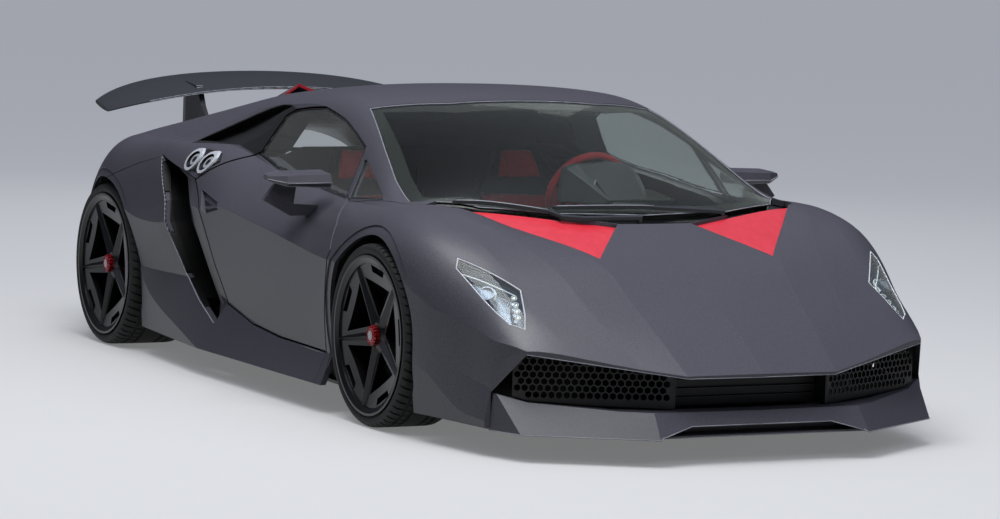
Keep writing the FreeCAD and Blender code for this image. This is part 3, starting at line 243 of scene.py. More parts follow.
def make_materials():
    """All finishes by name."""
    made = {}
    made["carbon"] = satin_carbon("satin_lacquered_carbon")[0]

    for key, name, settings, *tones in PLAIN_FINISHES:
        made[key], tree, shader = finish(name, **settings)
        grain(tree, shader, *tones)

    # The roof panel: the same lacquer, with a black post between the side windows
    made["upper"], tree, shader = satin_carbon("satin_lacquered_carbon_roof")
    ahead = beyond(tree, (-0.930, 0.0, -0.367), -0.783)
    behind = beyond(tree, (0.905, 0.0, 0.425), 0.842)
    low = beyond(tree, (0.0, 0.0, 1.0), 0.77)
    post = both_of(tree, both_of(tree, ahead, behind), low)
    paint(tree, shader, post, "#0C0C0D")

    # Intake moulding: lacquered ahead; painted shade darkens it to black where the air dives in, and on its
    # rear wall
    made["intake"], tree, shader = satin_carbon("satin_lacquered_carbon_intake")
    across = axle_distance(tree, (0.0, 0.0, 0.0))[1]
    shade_fade = add(tree, "ShaderNodeMapRange", {"From Min": 0.965, "From Max": 0.925}, {"Value": across})
    facing = add(tree, "ShaderNodeNewGeometry").outputs["Normal"]
    ahead = add(tree, "ShaderNodeSeparateXYZ", links={0: facing}).outputs["X"]
    shaded_rear_wall = beyond(tree, None, 0.12, ahead)
    # Painted shade: near black over the inner part and over the forward-facing rear wall
    paint(tree, shader, both_of(tree, shade_fade.outputs["Result"], shaded_rear_wall, "MAXIMUM"), "#060607")

    # Roof scoop with its front rim painted red
    made["scoop"], tree, shader = satin_carbon("satin_lacquered_carbon_scoop")
    paint(tree, shader, beyond(tree, (1.0, 0.0, 0.0), -0.7925), "#B5202C")

    # Laminated windscreen with a grey-green tint, side windows and lamp covers of thin clear polycarbonate
    made["screen"] = window("laminated_tinted_glass", "#C2CAC6", 1.14)
    made["glass"] = window("clear_polycarbonate", "#E2E8E6", 1.25)

    # Raw black mesh and slats behind the nose, with painted shade that darkens them to black towards the
    # car's middle
    made["grille"], tree, shader = finish("sooty_black_mesh")
    grain(tree, shader, "#161412", "#1F1C19", 3.0, 0.0, (0.5, 0.65))
    across = axle_distance(tree, (0.0, 0.0, 0.0))[1]
    shade_fade = add(tree, "ShaderNodeMapRange", {"From Min": 0.72, "From Max": 0.5}, {"Value": across})
    # Painted shade, deepening towards the middle
    paint(tree, shader, shade_fade.outputs["Result"], "#030303")

    for axle, w in WHEELS.items():
        # Forged wheel in satin black: red finned nut with a bare centre, and a grey ceramic brake disc behind
        made[axle + "_rim"], tree, shader = finish(axle + "_satin_black_forged_wheel", Metallic=0.35,
                                                   Coat_Weight=0.15, Coat_Roughness=0.3)
        grain(tree, shader, "#0A0A0B", "#111113", 3.0, 0.0, (0.26, 0.34), 1.5)
        radius, across = axle_distance(tree, (w["x"], 0.0, w["radius"]))
        outside = beyond(tree, None, w["face"] - 0.05, across)
        paint(tree, shader, both_of(tree, within(tree, radius, -1.0, NUT_RADIUS), outside), "#A01622")
        paint(tree, shader, both_of(tree, within(tree, radius, -1.0, NUT_BARE), outside), "#A9ABAD")
        inside = within(tree, across, 0.0, w["face"] - w["width"] / 2 - DISC_BEHIND + 0.002)
        paint(tree, shader, both_of(tree, within(tree, radius, 0.08, w["disc"] + 0.002), inside), "#3C3B3A")

        # Machined upright with a red anodised caliper round the disc
        made[axle + "_knuckle"], tree, shader = finish(axle + "_machined_upright", Metallic=0.5)
        grain(tree, shader, "#4B4C4E", "#606164", 5.0, 0.1, (0.4, 0.5), 1.5)
        radius, across = axle_distance(tree, (w["x"], 0.0, w["radius"]))
        near = beyond(tree, None, w["face"] - w["width"] / 2 - DISC_BEHIND - 0.036, across)
        paint(tree, shader, both_of(tree, within(tree, radius, 0.1, 0.3), near), "#8E1420")

    # Turned and polished couplings on a dark plate
    made["coupling"], tree, shader = finish("polished_coupling", Metallic=0.25)
    grain(tree, shader, "#121213", "#1A1A1C", 8.0, 0.0, (0.25, 0.35), 1.0)
    for x, z in ((-0.668, 0.826), (-0.560, 0.822)):
        radius, across = axle_distance(tree, (x, 0.0, z))
        paint(tree, shader, within(tree, radius, 0.0325, 0.0445), "#D6D9DD")
        paint(tree, shader, within(tree, radius, 0.012, 0.022), "#B4B8BE")

    return made


MATERIALS = make_materials()
NODE_FINISH = {
    "front_clam": "carbon", "upper_body": "upper", "rear_clam": "carbon", "quarter_panel": "carbon",
    "skirt": "carbon", "door": "carbon", "splitter": "carbon", "mirror": "carbon", "roof_scoop": "scoop",
    "wing": "carbon_dark", "tub": "structure", "undertray": "carbon_dark", "engine_cover": "carbon_dark",
    "door_glass": "glass", "quarter_glass": "glass", "windscreen": "screen", "headlamp_lens": "glass",
    "bonnet_vent": "red", "headlamp_housing": "lamp_grey", "intake_duct": "intake", "buttress_duct": "black",
    "tail_panel": "black", "tail_lamp": "red_lens", "exhaust": "steel", "dashboard": "dashboard",
    "steering_wheel": "suede", "seat": "suede", "engine": "alloy", "cowl": "gloss_black",
    "nose_grille": "grille", "front_frame": "structure", "rear_frame": "structure",
    "front_tyre": "tyre", "rear_tyre": "tyre",
    "front_rim": "front_rim", "rear_rim": "rear_rim", "front_knuckle": "front_knuckle",
    "rear_knuckle": "rear_knuckle", "filler_plate": "coupling",
}


def plain_name(node_name):
    """A node's name without its side."""
    for side in SIDES:
        if node_name.endswith("_" + side):
            return node_name[:-len(side) - 1]
    return node_name


def dress_nodes():
    """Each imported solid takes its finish."""
    for node_name, piece in nodes.items():
        piece.data.materials.clear()
        piece.data.materials.append(MATERIALS[NODE_FINISH[plain_name(node_name)]])


# Shapes

def place(name, mesh, finish_name, body, smooth=False):
    """A finished piece at the origin, with its finish and its body."""
    piece = bpy.data.objects.new(name, mesh)
    bpy.context.scene.collection.objects.link(piece)
    mesh.materials.clear()
    mesh.materials.append(MATERIALS[finish_name])
    mesh.polygons.foreach_set("use_smooth", [smooth] * len(mesh.polygons))
    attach(piece, body)
    return piece


def to_mesh(form, name):
    """A mesh from edited geometry, with its faces pointing outwards."""
    bmesh.ops.remove_doubles(form, verts=form.verts, dist=1e-6)
    bmesh.ops.recalc_face_normals(form, faces=form.faces)
    mesh = bpy.data.meshes.new(name)
    form.to_mesh(mesh)
    form.free()
    return mesh


def tree_with(name, inputs):
    """An empty Geometry Nodes tree with named inputs, and its ends."""
    tree = bpy.data.node_groups.new(name, "GeometryNodeTree")
    tree.interface.new_socket("Geometry", in_out="INPUT", socket_type="NodeSocketGeometry")
    tree.interface.new_socket("Geometry", in_out="OUTPUT", socket_type="NodeSocketGeometry")
    for label, kind in inputs:
        tree.interface.new_socket(label, in_out="INPUT", socket_type=kind)
    return tree, tree.nodes.new("NodeGroupInput"), tree.nodes.new("NodeGroupOutput")


def evaluated(piece):
    """A plain mesh of a piece as its modifiers leave it."""
    return bpy.data.meshes.new_from_object(piece.evaluated_get(bpy.context.evaluated_depsgraph_get()))


def grown_mesh(tree, base, values, name):
    """The plain mesh that a tree makes of a base mesh with the given inputs."""
    holder = bpy.data.objects.new(name, base)
    bpy.context.scene.collection.objects.link(holder)
    modifier = holder.modifiers.new("shape", "NODES")
    modifier.node_group = tree
    for item in tree.interface.items_tree:
        if item.in_out == "INPUT" and item.name in values:
            modifier[item.identifier] = values[item.name]
    result = evaluated(holder)
    holder.modifiers.clear()
    bpy.data.objects.remove(holder)
    return result


def ring_tree():
    """Turns one pitch of a pattern round an axle: Count copies about the Y axis."""
    tree, start, end = tree_with("pitch_ring", (("Count", "NodeSocketInt"), ("Finish", "NodeSocketMaterial")))
    points = add(tree, "GeometryNodePoints", links={"Count": start.outputs["Count"]})
    step = add(tree, "ShaderNodeMath", {"operation": "DIVIDE", 0: 2 * math.pi}, {1: start.outputs["Count"]})
    index = add(tree, "GeometryNodeInputIndex")
    angle = add(tree, "ShaderNodeMath", {"operation": "MULTIPLY"}, {0: index.outputs[0], 1: step.outputs[0]})
    turn = add(tree, "ShaderNodeCombineXYZ", links={"Y": angle.outputs[0]})
    copies = add(tree, "GeometryNodeInstanceOnPoints", links={
        "Points": points.outputs[0], "Instance": start.outputs["Geometry"], "Rotation": turn.outputs[0]})
    real = add(tree, "GeometryNodeRealizeInstances", links={0: copies.outputs[0]})
    joined = add(tree, "GeometryNodeMergeByDistance", {"Distance": 1e-5}, {"Geometry": real.outputs[0]})
    dressed = add(tree, "GeometryNodeSetMaterial", links={
        "Geometry": joined.outputs[0], "Material": start.outputs["Finish"]})
    tree.links.new(dressed.outputs[0], end.inputs[0])
    return tree


def scatter_tree():
    """Sets one small head on every point of a mesh, its Z axis along the point's facing."""
    tree, start, end = tree_with("heads_on_points", (("Head", "NodeSocketObject"),
                                                     ("Finish", "NodeSocketMaterial")))
    head = add(tree, "GeometryNodeObjectInfo", links={"Object": start.outputs["Head"]})
    facing = add(tree, "GeometryNodeInputNamedAttribute", {"data_type": "FLOAT_VECTOR", "Name": "facing"})
    along = add(tree, "GeometryNodeInputNamedAttribute", {"data_type": "FLOAT_VECTOR", "Name": "along"})
    upright = add(tree, "FunctionNodeAlignRotationToVector", {"axis": "Z"}, {"Vector": facing.outputs[0]})
    turned = add(tree, "FunctionNodeAlignRotationToVector", {"axis": "X", "pivot_axis": "Z"}, {
        "Rotation": upright.outputs[0], "Vector": along.outputs[0]})
    copies = add(tree, "GeometryNodeInstanceOnPoints", links={
        "Points": start.outputs["Geometry"], "Instance": head.outputs["Geometry"],
        "Rotation": turned.outputs[0]})
    real = add(tree, "GeometryNodeRealizeInstances", links={0: copies.outputs[0]})
    dressed = add(tree, "GeometryNodeSetMaterial", links={
        "Geometry": real.outputs[0], "Material": start.outputs["Finish"]})
    tree.links.new(dressed.outputs[0], end.inputs[0])
    return tree


RING = ring_tree()
SCATTER = scatter_tree()


def heads_on(name, head, points, finish_name, body):
    """Copies of a small head on points, each with its facing and its direction along."""
    base = bpy.data.meshes.new(name + "_points")
    base.from_pydata([point for point, facing, along in points], [], [])
    for label, column in (("facing", 1), ("along", 2)):
        attribute = base.attributes.new(label, "FLOAT_VECTOR", "POINT")
        attribute.data.foreach_set("vector", [c for point in points for c in point[column]])
    head_piece = bpy.data.objects.new(name + "_head", head)
    bpy.context.scene.collection.objects.link(head_piece)
    mesh = grown_mesh(SCATTER, base, {"Head": head_piece, "Finish": MATERIALS[finish_name]}, name)
    bpy.data.objects.remove(head_piece)
    return place(name, mesh, finish_name, body)


def tube(form, points, radius, sides=6):
    """A closed tube along points, added to a form."""
    rings = []
    for k, point in enumerate(points):
        ahead = points[min(k + 1, len(points) - 1)] - points[max(k - 1, 0)]
        side = ahead.cross(Vector((0.3, 0.2, 1.0))).normalized()
        up = side.cross(ahead.normalized())
        rings.append([form.verts.new(point + (side * math.cos(turn) + up * math.sin(turn)) * radius)
                      for turn in (2 * math.pi * j / sides for j in range(sides))])
    for first, second in zip(rings, rings[1:]):
        for j in range(sides):
            form.faces.new((first[j - 1], first[j], second[j], second[j - 1]))
    form.faces.new(rings[0])
    form.faces.new(rings[-1][::-1])


def bead(name, points, radius, finish_name, body):
    """A thin round strip along points."""
    form = bmesh.new()
    tube(form, [Vector(point) for point in points], radius)
    return place(name, to_mesh(form, name), finish_name, body, True)


def lofted(form, rings):
    """Skin over rings of equally many points, closed at both ends, added to a form."""
    rows = [[form.verts.new(point) for point in ring] for ring in rings]
    for first, second in zip(rows, rows[1:]):
        for j in range(len(first)):
            form.faces.new((first[j - 1], first[j], second[j], second[j - 1]))
    form.faces.new(rows[0])
    form.faces.new(rows[-1][::-1])


def closed_skin(form, rings):
    """Skin over rings of points, the last joined to the first, added to a form."""
    for first, second in zip(rings, rings[1:] + rings[:1]):
        for j in range(len(first)):
            form.faces.new((first[j - 1], first[j], second[j], second[j - 1]))


# Half of the tyre's section from the bead to the middle: radius and distance in from the outer face, in mm on
# the front tyre, and how deep the cross grooves cut there, from 0 to 1
TYRE_SECTION = (
    (268.2, 14.4, 0), (280.0, 10.6, 0), (287.4, 8.6, 0), (291.0, 4.8, 0), (297.0, 1.6, 0), (305.0, 0.4, 0),
    (311.0, 1.0, 0), (315.0, 2.6, 0), (318.5, 5.4, 0.5), (322.5, 10.0, 1), (325.8, 17.0, 1), (327.3, 28.0, 1),
    (327.7, 46.0, 1), (321.5, 48.0, 0), (321.5, 56.0, 0), (327.8, 58.0, 0.6), (328.0, 78.0, 0.6),
    (321.5, 80.0, 0), (321.5, 88.0, 0), (328.0, 90.0, 0), (328.0, 122.5, 0),
)
TREAD_PITCHES = 62
GROOVE_MM = 5.5
GROOVE_SLANT = 0.9      # how far a cross groove leans, in pitches, between the side and SLANT_REACH in
SLANT_REACH = 0.09
# Columns of one pitch: share of the pitch, and how much of the groove is there
PITCH_COLUMNS = ((0.0, 1.0), (0.14, 1.0), (0.2, 0.0), (0.6, 0.0), (0.94, 0.0), (1.0, 1.0))


def make_tyre(axle, side):
    """Low-profile tyre with a block-tread shoulder, ribs and grooves."""
    w = WHEELS[axle]
    stretch = (w["radius"] - w["bead"]) / (FRONT["radius"] - FRONT["bead"])
    broad = w["width"] / FRONT["width"]
    half = [(w["bead"] + (r * MM - FRONT["bead"]) * stretch, d * MM * broad, g) for r, d, g in TYRE_SECTION]
    rows = half + [(r, w["width"] - d, g) for r, d, g in reversed(half[:-1])]
    pitch = 2 * math.pi / TREAD_PITCHES
    form = bmesh.new()
    grid = []
    for radius, inward, cut in rows:
        slant = GROOVE_SLANT * pitch * min(1.0, min(inward, w["width"] - inward) / SLANT_REACH)
        line = []
        for share, groove in PITCH_COLUMNS:
            r = radius - GROOVE_MM * MM * groove * cut
            angle = (share * pitch) + slant
            y = SIDES[side] * (w["face"] - inward)
            line.append(form.verts.new((r * math.sin(angle), y, r * math.cos(angle))))
        grid.append(line)
    for lower, upper in zip(grid, grid[1:] + grid[:1]):
        for k in range(len(PITCH_COLUMNS) - 1):
            form.faces.new((lower[k], lower[k + 1], upper[k + 1], upper[k]))
    unit = bpy.data.meshes.new("tread_pitch")
    form.to_mesh(unit)
    form.free()
    mesh = grown_mesh(RING, unit, {"Count": TREAD_PITCHES, "Finish": MATERIALS["tyre"]},
                      axle + "_tyre_" + side)
    mesh.transform(Matrix.Translation((w["x"], 0.0, w["radius"])))
    form = bmesh.new()
    form.from_mesh(mesh)
    bmesh.ops.remove_doubles(form, verts=form.verts, dist=WELD)
    piece = place("tyre_" + axle + "_" + side, to_mesh(form, "tyre"), "tyre", axle + "_wheel_" + side,
                  True)
    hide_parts(axle + "_tyre_" + side)
    piece.data.set_sharp_from_angle(angle=math.radians(38))


def merged(node_name):
    """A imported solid's mesh, joined up, for reading its edges and faces."""
    form = bmesh.new()
    form.from_mesh(nodes[node_name].data)
    bmesh.ops.remove_doubles(form, verts=form.verts, dist=WELD)
    form.normal_update()
    return form


def skin_of(node_name):
    """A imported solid's surface, for rays."""
    form = merged(node_name)
    skin = BVHTree.FromBMesh(form)
    form.free()
    return skin


def edge_line(name, node_name, wanted, radius, sink, finish_name, body):
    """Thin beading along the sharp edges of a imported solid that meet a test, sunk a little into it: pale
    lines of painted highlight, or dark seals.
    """
    source = merged(node_name)
    form = bmesh.new()
    for edge in source.edges:
        if len(edge.link_faces) != 2 or edge.calc_face_angle(0.0) < SHARP:
            continue
        normals = [face.normal for face in edge.link_faces]
        a, b = (vert.co for vert in edge.verts)
        if not wanted(a, b, normals):
            continue
        inward = -(normals[0] + normals[1]).normalized() * sink
        run = (b - a).normalized()
        side = normals[0].normalized()
        up = run.cross(side).normalized()
        turns = [math.radians(60 * k) for k in range(6)]
        round_off = [side * math.cos(turn) + up * math.sin(turn) for turn in turns]
        rings = [[form.verts.new(end + inward + out * radius) for out in round_off]
                 for end in (a - run * radius * 0.5, b + run * radius * 0.5)]
        for k in range(6):
            form.faces.new((rings[0][k], rings[0][k - 1], rings[1][k - 1], rings[1][k]))
        form.faces.new(rings[0])
        form.faces.new(reversed(rings[1]))
    source.free()
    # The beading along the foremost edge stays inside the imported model's box
    for vert in form.verts:
        vert.co.x = min(vert.co.x, cad_high[0])
    mesh = bpy.data.meshes.new(name)
    bmesh.ops.recalc_face_normals(form, faces=form.faces)
    form.to_mesh(mesh)
    form.free()
    return place(name, mesh, finish_name, body, True)


def face_patch(name, node_name, wanted, lift, finish_name, body):
    """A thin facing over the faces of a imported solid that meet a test."""
    form = merged(node_name)
    keep = [face for face in form.faces if wanted(face.calc_center_median(), face.normal)]
    bmesh.ops.delete(form, geom=list(set(form.faces) - set(keep)), context="FACES")
    outer = bmesh.ops.extrude_face_region(form, geom=form.faces[:] + form.edges[:] + form.verts[:])
    moved = [item for item in outer["geom"] if isinstance(item, bmesh.types.BMVert)]
    form.normal_update()
    for vert in moved:
        vert.co += vert.normal * lift
    return place(name, to_mesh(form, name), finish_name, body)


def turned_ring(centre, axis, profile, segments=24):
    """Closed ring geometry turned about an axis, from a profile of (radius, height)."""
    axis = Vector(axis).normalized()
    side = axis.orthogonal().normalized()
    up = axis.cross(side)
    form = bmesh.new()
    rings = []
    for k in range(segments):
        turn = 2 * math.pi * k / segments
        out = side * math.cos(turn) + up * math.sin(turn)
        rings.append([form.verts.new(Vector(centre) + out * r + axis * h) for r, h in profile])
    closed_skin(form, rings)
    return form


def joined(forms, name):
    """Several forms in one mesh."""
    whole = bmesh.new()
    for form in forms:
        part = bpy.data.meshes.new("part")
        bmesh.ops.remove_doubles(form, verts=form.verts, dist=1e-6)
        bmesh.ops.recalc_face_normals(form, faces=form.faces)
        form.to_mesh(part)
        form.free()
        whole.from_mesh(part)
        bpy.data.meshes.remove(part)
    mesh = bpy.data.meshes.new(name)
    whole.to_mesh(mesh)
    whole.free()
    return mesh


LAMP_AIM = Vector((0.62, -0.25, 0.74))
# Round elements of a right headlamp: x and y in metres, radius, and how far they lie behind the cover
LAMP_ROUNDS = ((1.735, -0.800, 0.031, 0.026), (1.803, -0.735, 0.011, 0.008), (1.830, -0.742, 0.011, 0.008),
               (1.855, -0.749, 0.011, 0.008), (1.878, -0.756, 0.011, 0.008))
# The ridge between the lamp's upper and lower tiers
LAMP_RIDGE = ((1.622, -0.850), (1.683, -0.810), (1.747, -0.766), (1.798, -0.726))


def make_lamps():
    """Round elements, inner ridge and a bright line of painted highlight on the frame of both headlamps."""
    for side, sign in SIDES.items():
        cover = skin_of("headlamp_lens_" + side)
        aim = Vector((LAMP_AIM.x, LAMP_AIM.y * -sign, LAMP_AIM.z))

        def behind(x, y, depth):
            found = cover.ray_cast(Vector((x, -y * sign, 1.0)), Vector((0.0, 0.0, -1.0)))[0]
            return found - aim * depth

        rings, domes = [], []
        for x, y, radius, depth in LAMP_ROUNDS:
            base = behind(x, y, depth + GLASS)
            wall = radius * 0.2
            rings.append(turned_ring(base, aim, [(radius - wall, 0.0), (radius, 0.0), (radius, 0.004),
                                                 (radius - wall * 0.5, 0.006), (radius - wall, 0.004)]))
            domes.append(turned_ring(base, aim, [(1e-5, -0.002), (radius - wall, -0.002),
                                                 (radius - wall, 0.001), (radius * 0.5, 0.004),
                                                 (1e-5, 0.0052)]))
        place("lamp_rings_" + side, joined(rings, "lamp_rings"), "diffuser", "body", True)
        place("lamp_domes_" + side, joined(domes, "lamp_domes"), "chrome", "body", True)
        ridge = [behind(x, y, 0.004 + GLASS) for x, y in LAMP_RIDGE]
        bead("lamp_ridge_" + side, ridge, 0.0022, "diffuser", "body")
        edge_line("lamp_frame_" + side, "headlamp_lens_" + side,
                  lambda a, b, normals: max(n.z for n in normals) > 0.45 and min(n.z for n in normals) < 0.45,
                  0.0028, 0.001, "bright_edge", "body")


def make_mirror_glass():
    """Silvered glass on the rear of each mirror."""
    for side in SIDES:
        face_patch("mirror_glass_" + side, "mirror_" + side,
                   lambda centre, normal: normal.x < -0.6 and centre.x < 0.46
                   and abs(centre.y) > 0.87 and centre.z > 0.82,
                   0.0004, "mirror", "door_" + side)


def make_seals():
    """Seals round the glass: a thin grey line of painted highlight round the windscreen, black seals at the
    sides.
    """
    edge_line("seal_windscreen", "windscreen", lambda a, b, normals: max(n.z for n in normals) > 0.2, 0.0022,
              0.0005, "edge", "body")
    for side in SIDES:
        for glass, body in (("door_glass_", "door_"), ("quarter_glass_", "body")):
            edge_line("seal_" + glass + side, glass + side, lambda a, b, normals: True, 0.003, 0.0025,
                      "gloss_black", body + side if body == "door_" else body)


# Right half of the windscreen's outline in plan, front of the roof to the cowl, in metres
SCREEN_OUTLINE = ((0.402, 0.0), (0.387, -0.307), (0.302, -0.600), (0.624, -0.682), (0.817, -0.727),
                  (1.003, -0.756), (1.250, -0.600), (1.338, -0.363), (1.385, 0.0))
SCREEN_BORDER = 0.058
SCREEN_BORDER_TOP = 0.085


def make_screen_border():
    """Black band under the windscreen's edge: header, pillar trims and the dashboard's front lip."""
    half = [Vector(point) for point in SCREEN_OUTLINE]
    corners = half + [Vector((point.x, -point.y)) for point in half[-2:0:-1]]
    lower = skin_of("windscreen")

    def under(point, drop):
        found = lower.ray_cast(Vector((point.x, point.y, 0.3)), Vector((0.0, 0.0, 1.0)))[0]
        return None if found is None else found - Vector((0.0, 0.0, drop))

    middle = Vector((0.80, 0.0))
    outer, inner = [], []
    for k, corner in enumerate(corners):
        ahead = corners[(k + 1) % len(corners)]
        back = corners[k - 1]
        normal = ((ahead - corner).normalized() + (corner - back).normalized()).normalized()
        normal = Vector((-normal.y, normal.x))
        if normal.dot(middle - corner) < 0:
            normal = -normal
        width = SCREEN_BORDER_TOP if corner.x < 0.42 and abs(corner.y) < 0.4 else SCREEN_BORDER
        outer.append(corner + normal * 0.008)
        inner.append(corner + normal * width)
    form = bmesh.new()
    rings = []
    for k in range(len(corners)):
        nxt = (k + 1) % len(corners)
        steps = max(2, int((corners[nxt] - corners[k]).length / 0.04))
        for step in range(steps):
            share = step / steps
            a, b = outer[k].lerp(outer[nxt], share), inner[k].lerp(inner[nxt], share)
            points = [under(a, 0.0015), under(b, 0.0015), under(b, 0.0045), under(a, 0.0045)]
            if None not in points:
                rings.append([form.verts.new(point) for point in points])
    closed_skin(form, rings)
    place("screen_border", to_mesh(form, "screen_border"), "black", "body")


def near_line(point, line, reach):
    """Whether a flat point lies within reach of a run of points."""
    for a, b in zip(line, line[1:]):
        a, b = Vector(a), Vector(b)
        run = b - a
        share = min(1.0, max(0.0, (point - a).dot(run) / run.length_squared))
        if (point - a - run * share).length < reach:
            return True
    return False


# Lines in metres: the nose's lower lip in plan, and the rear edge of the side intake seen from the side
NOSE_LIP = ((2.250, 0.0), (2.238, 0.292), (2.009, 0.786))
INTAKE_EDGE = ((-0.943, 0.819), (-0.779, 0.655), (-0.706, 0.501), (-0.630, 0.368), (-0.470, 0.285),
               (-0.289, 0.212))
TEETH_FROM_Z = 0.505
TEETH_PITCH = 0.020
TOOTH_ENDS = ((-0.001, 0.006, 0.001), (0.009, 0.001, 0.0))     # root and tip: out, half width, upper face
TOOTH_FOOT = -0.002
LIP_INSET = 0.0035      # the beading lies this far behind the intake's edge


def make_edge_highlights():
    """Pale lines of painted highlight where sharp carbon edges catch the light."""
    edge_line("edge_nose", "front_clam",
              lambda a, b, normals: all(near_line(Vector((p.x, abs(p.y))), NOSE_LIP, 0.012) for p in (a, b))
              and min(n.z for n in normals) < -0.3, 0.0016, 0.0006, "edge", "body")
    edge_line("edge_splitter", "splitter",
              lambda a, b, normals: max(a.z, b.z) < 0.140 and min(a.x, b.x) > 1.85
              and max(n.x for n in normals) > 0.3 and min(n.z for n in normals) < -0.3,
              0.0018, 0.0006, "edge", "body")
    edge_line("edge_wing", "wing",
              lambda a, b, normals: min(a.x, b.x) > -1.90 and max(abs(a.y), abs(b.y)) < 0.66
              and (a - b).length > 0.02 and abs(a.y - b.y) > 0.5 * (a - b).length,
              0.0018, 0.0004, "edge", "body")
    for side in SIDES:
        edge_line("edge_mirror_" + side, "mirror_" + side,
                  lambda a, b, normals: min(a.x, b.x) > 0.480 and min(abs(a.y), abs(b.y)) > 0.855
                  and max(a.z, b.z) < 0.842, 0.0016, 0.0004, "edge", "door_" + side)


def make_intake_teeth():
    """Painted highlight along the rear edge of each side intake, with a row of small saw teeth along its
    upper run.
    """
    head = bmesh.new()
    ends = []
    for out, half, top in TOOTH_ENDS:
        corners = ((-half, TOOTH_FOOT), (half, TOOTH_FOOT), (half, top), (-half, top))
        ends.append([Vector((out, y, z)) for y, z in corners])
    lofted(head, ends)
    tooth = to_mesh(head, "tooth")
    for side, sign in SIDES.items():
        skin = skin_of("quarter_panel_" + side)
        teeth, edge = [], []
        walked = 0.0
        for a, b in zip(INTAKE_EDGE, INTAKE_EDGE[1:]):
            a, b = Vector(a), Vector(b)
            run = (b - a).normalized()
            ahead = Vector((-run.y, run.x))     # the edge runs downwards, so this points to the nose
            while walked < (b - a).length:
                flat = a + run * walked - ahead * LIP_INSET
                found = skin.ray_cast(Vector((flat.x, OUTSIDE * sign, flat.y)), Vector((0.0, -sign, 0.0)))[0]
                if found is not None and abs(found.y) > 0.85:
                    edge.append(found)
                    if flat.y > TEETH_FROM_Z:
                        teeth.append((found + Vector((ahead.x, 0.0, ahead.y)) * LIP_INSET,
                                      (0.0, sign, 0.0), (ahead.x, 0.0, ahead.y)))
                walked += TEETH_PITCH
            walked -= (b - a).length
        # A pale bead of painted highlight along the intake's rear edge
        bead("edge_intake_" + side, edge, 0.0024, "edge", "body")
        heads_on("intake_teeth_" + side, tooth, teeth, "carbon_dark", "body")


# Panel behind the seats: outline across and up, place, thickness and ribs, in metres
BULKHEAD = ((-0.640, 0.600), (-0.640, 0.830), (-0.500, 0.884), (0.500, 0.884), (0.640, 0.830), (0.640, 0.600))
BULKHEAD_X = -0.530
BULKHEAD_THICK = 0.010
RIB_PITCH = 0.13
RIB_ENDS = (0.630, 0.800)
# Baffle inside the tail mesh, below the exhaust
BAFFLE = ((-0.640, 0.352), (-0.700, 0.385), (-0.690, 0.560), (0.690, 0.560), (0.700, 0.385), (0.640, 0.352))
BAFFLE_X = -2.236


def make_inner_panels():
    """Ribbed panel behind the seats, and a baffle inside the tail mesh."""
    form = bmesh.new()
    plate(form, BULKHEAD, 0.0, BULKHEAD_THICK, lambda y, z, out: Vector((BULKHEAD_X + out, y, z)), 0.003)
    for k in range(-4, 5):
        tube(form, [Vector((BULKHEAD_X + BULKHEAD_THICK, RIB_PITCH * k, z)) for z in RIB_ENDS], 0.006)
    place("bulkhead", to_mesh(form, "bulkhead"), "structure", "body")
    form = bmesh.new()
    plate(form, BAFFLE, 0.0, 0.004, lambda y, z, out: Vector((BAFFLE_X + out, y, z)), 0.001)
    place("tail_baffle", to_mesh(form, "tail_baffle"), "black", "body")


# Instrument hood: rear rim and front corners, x, y, z in metres
HOOD_RIM = ((0.060, 0.752), (0.080, 0.880), (0.120, 0.893), (0.282, 0.903), (0.350, 0.889), (0.392, 0.850),
            (0.420, 0.800), (0.446, 0.752))
HOOD_X = (0.570, 0.620)
HOOD_NOSE = (0.820, 0.195, 0.750)
HOOD_FOOT = (0.800, 0.340, 0.752)
HOOD_WINDOW = ((0.708, 0.158, 0.841), (0.776, 0.177, 0.777), (0.714, 0.143, 0.796))


def make_instrument_hood():
    """Faceted hood over the instruments, with a dark three-cornered opening in its left face."""
    form = bmesh.new()
    back = [form.verts.new((HOOD_X[0], y, z)) for y, z in HOOD_RIM]
    rim = [form.verts.new((HOOD_X[1], y, z)) for y, z in HOOD_RIM]
    nose, foot = form.verts.new(HOOD_NOSE), form.verts.new(HOOD_FOOT)
    for corners in ((rim[0], rim[1], nose), (rim[1], rim[2], nose), (rim[2], rim[3], nose),
                    (rim[3], rim[4], foot), (rim[3], foot, nose), (rim[4], rim[5], foot),
                    (rim[5], rim[6], foot), (rim[6], rim[7], foot), (rim[7], rim[0], nose, foot)):
        form.faces.new(corners)
    for j in range(len(rim)):
        form.faces.new((back[j - 1], back[j], rim[j], rim[j - 1]))
    form.faces.new(back)
    mesh = to_mesh(form, "instrument_hood")
    piece = place("instrument_hood", mesh, "hood", "body")
    soft = piece.modifiers.new("soft_edges", "BEVEL")
    soft.width = 0.006
    soft.segments = 3
    corners = [Vector(corner) for corner in HOOD_WINDOW]
    normal = (corners[1] - corners[0]).cross(corners[2] - corners[0]).normalized()
    normal = normal if normal.y < 0 else -normal
    form = bmesh.new()
    lofted(form, [[corner + normal * lift for corner in corners] for lift in (-0.002, 0.0015)])
    place("hood_window", to_mesh(form, "hood_window"), "black", "body")
    # A pale line of painted highlight along one side of the opening
    bead("hood_window_edge", [corners[0] + normal * 0.002, corners[2] + normal * 0.002], 0.003, "edge",
         "body")


# Painted shade: a black sheet in the corner of a right door's finger pocket, x and z in metres
POCKET_SHADE = ((-0.428, 0.682), (-0.372, 0.640), (-0.262, 0.660))
# Painted highlight lines along the wiper blades, in plan
WIPER_HIGHLIGHTS = (((1.200, -0.668), (1.346, -0.378)), ((1.325, -0.330), (1.351, 0.052)))
WIPER_HIGHLIGHT_RADIUS = 0.0025
WIPER_HIGHLIGHT_LIFT = 0.0005


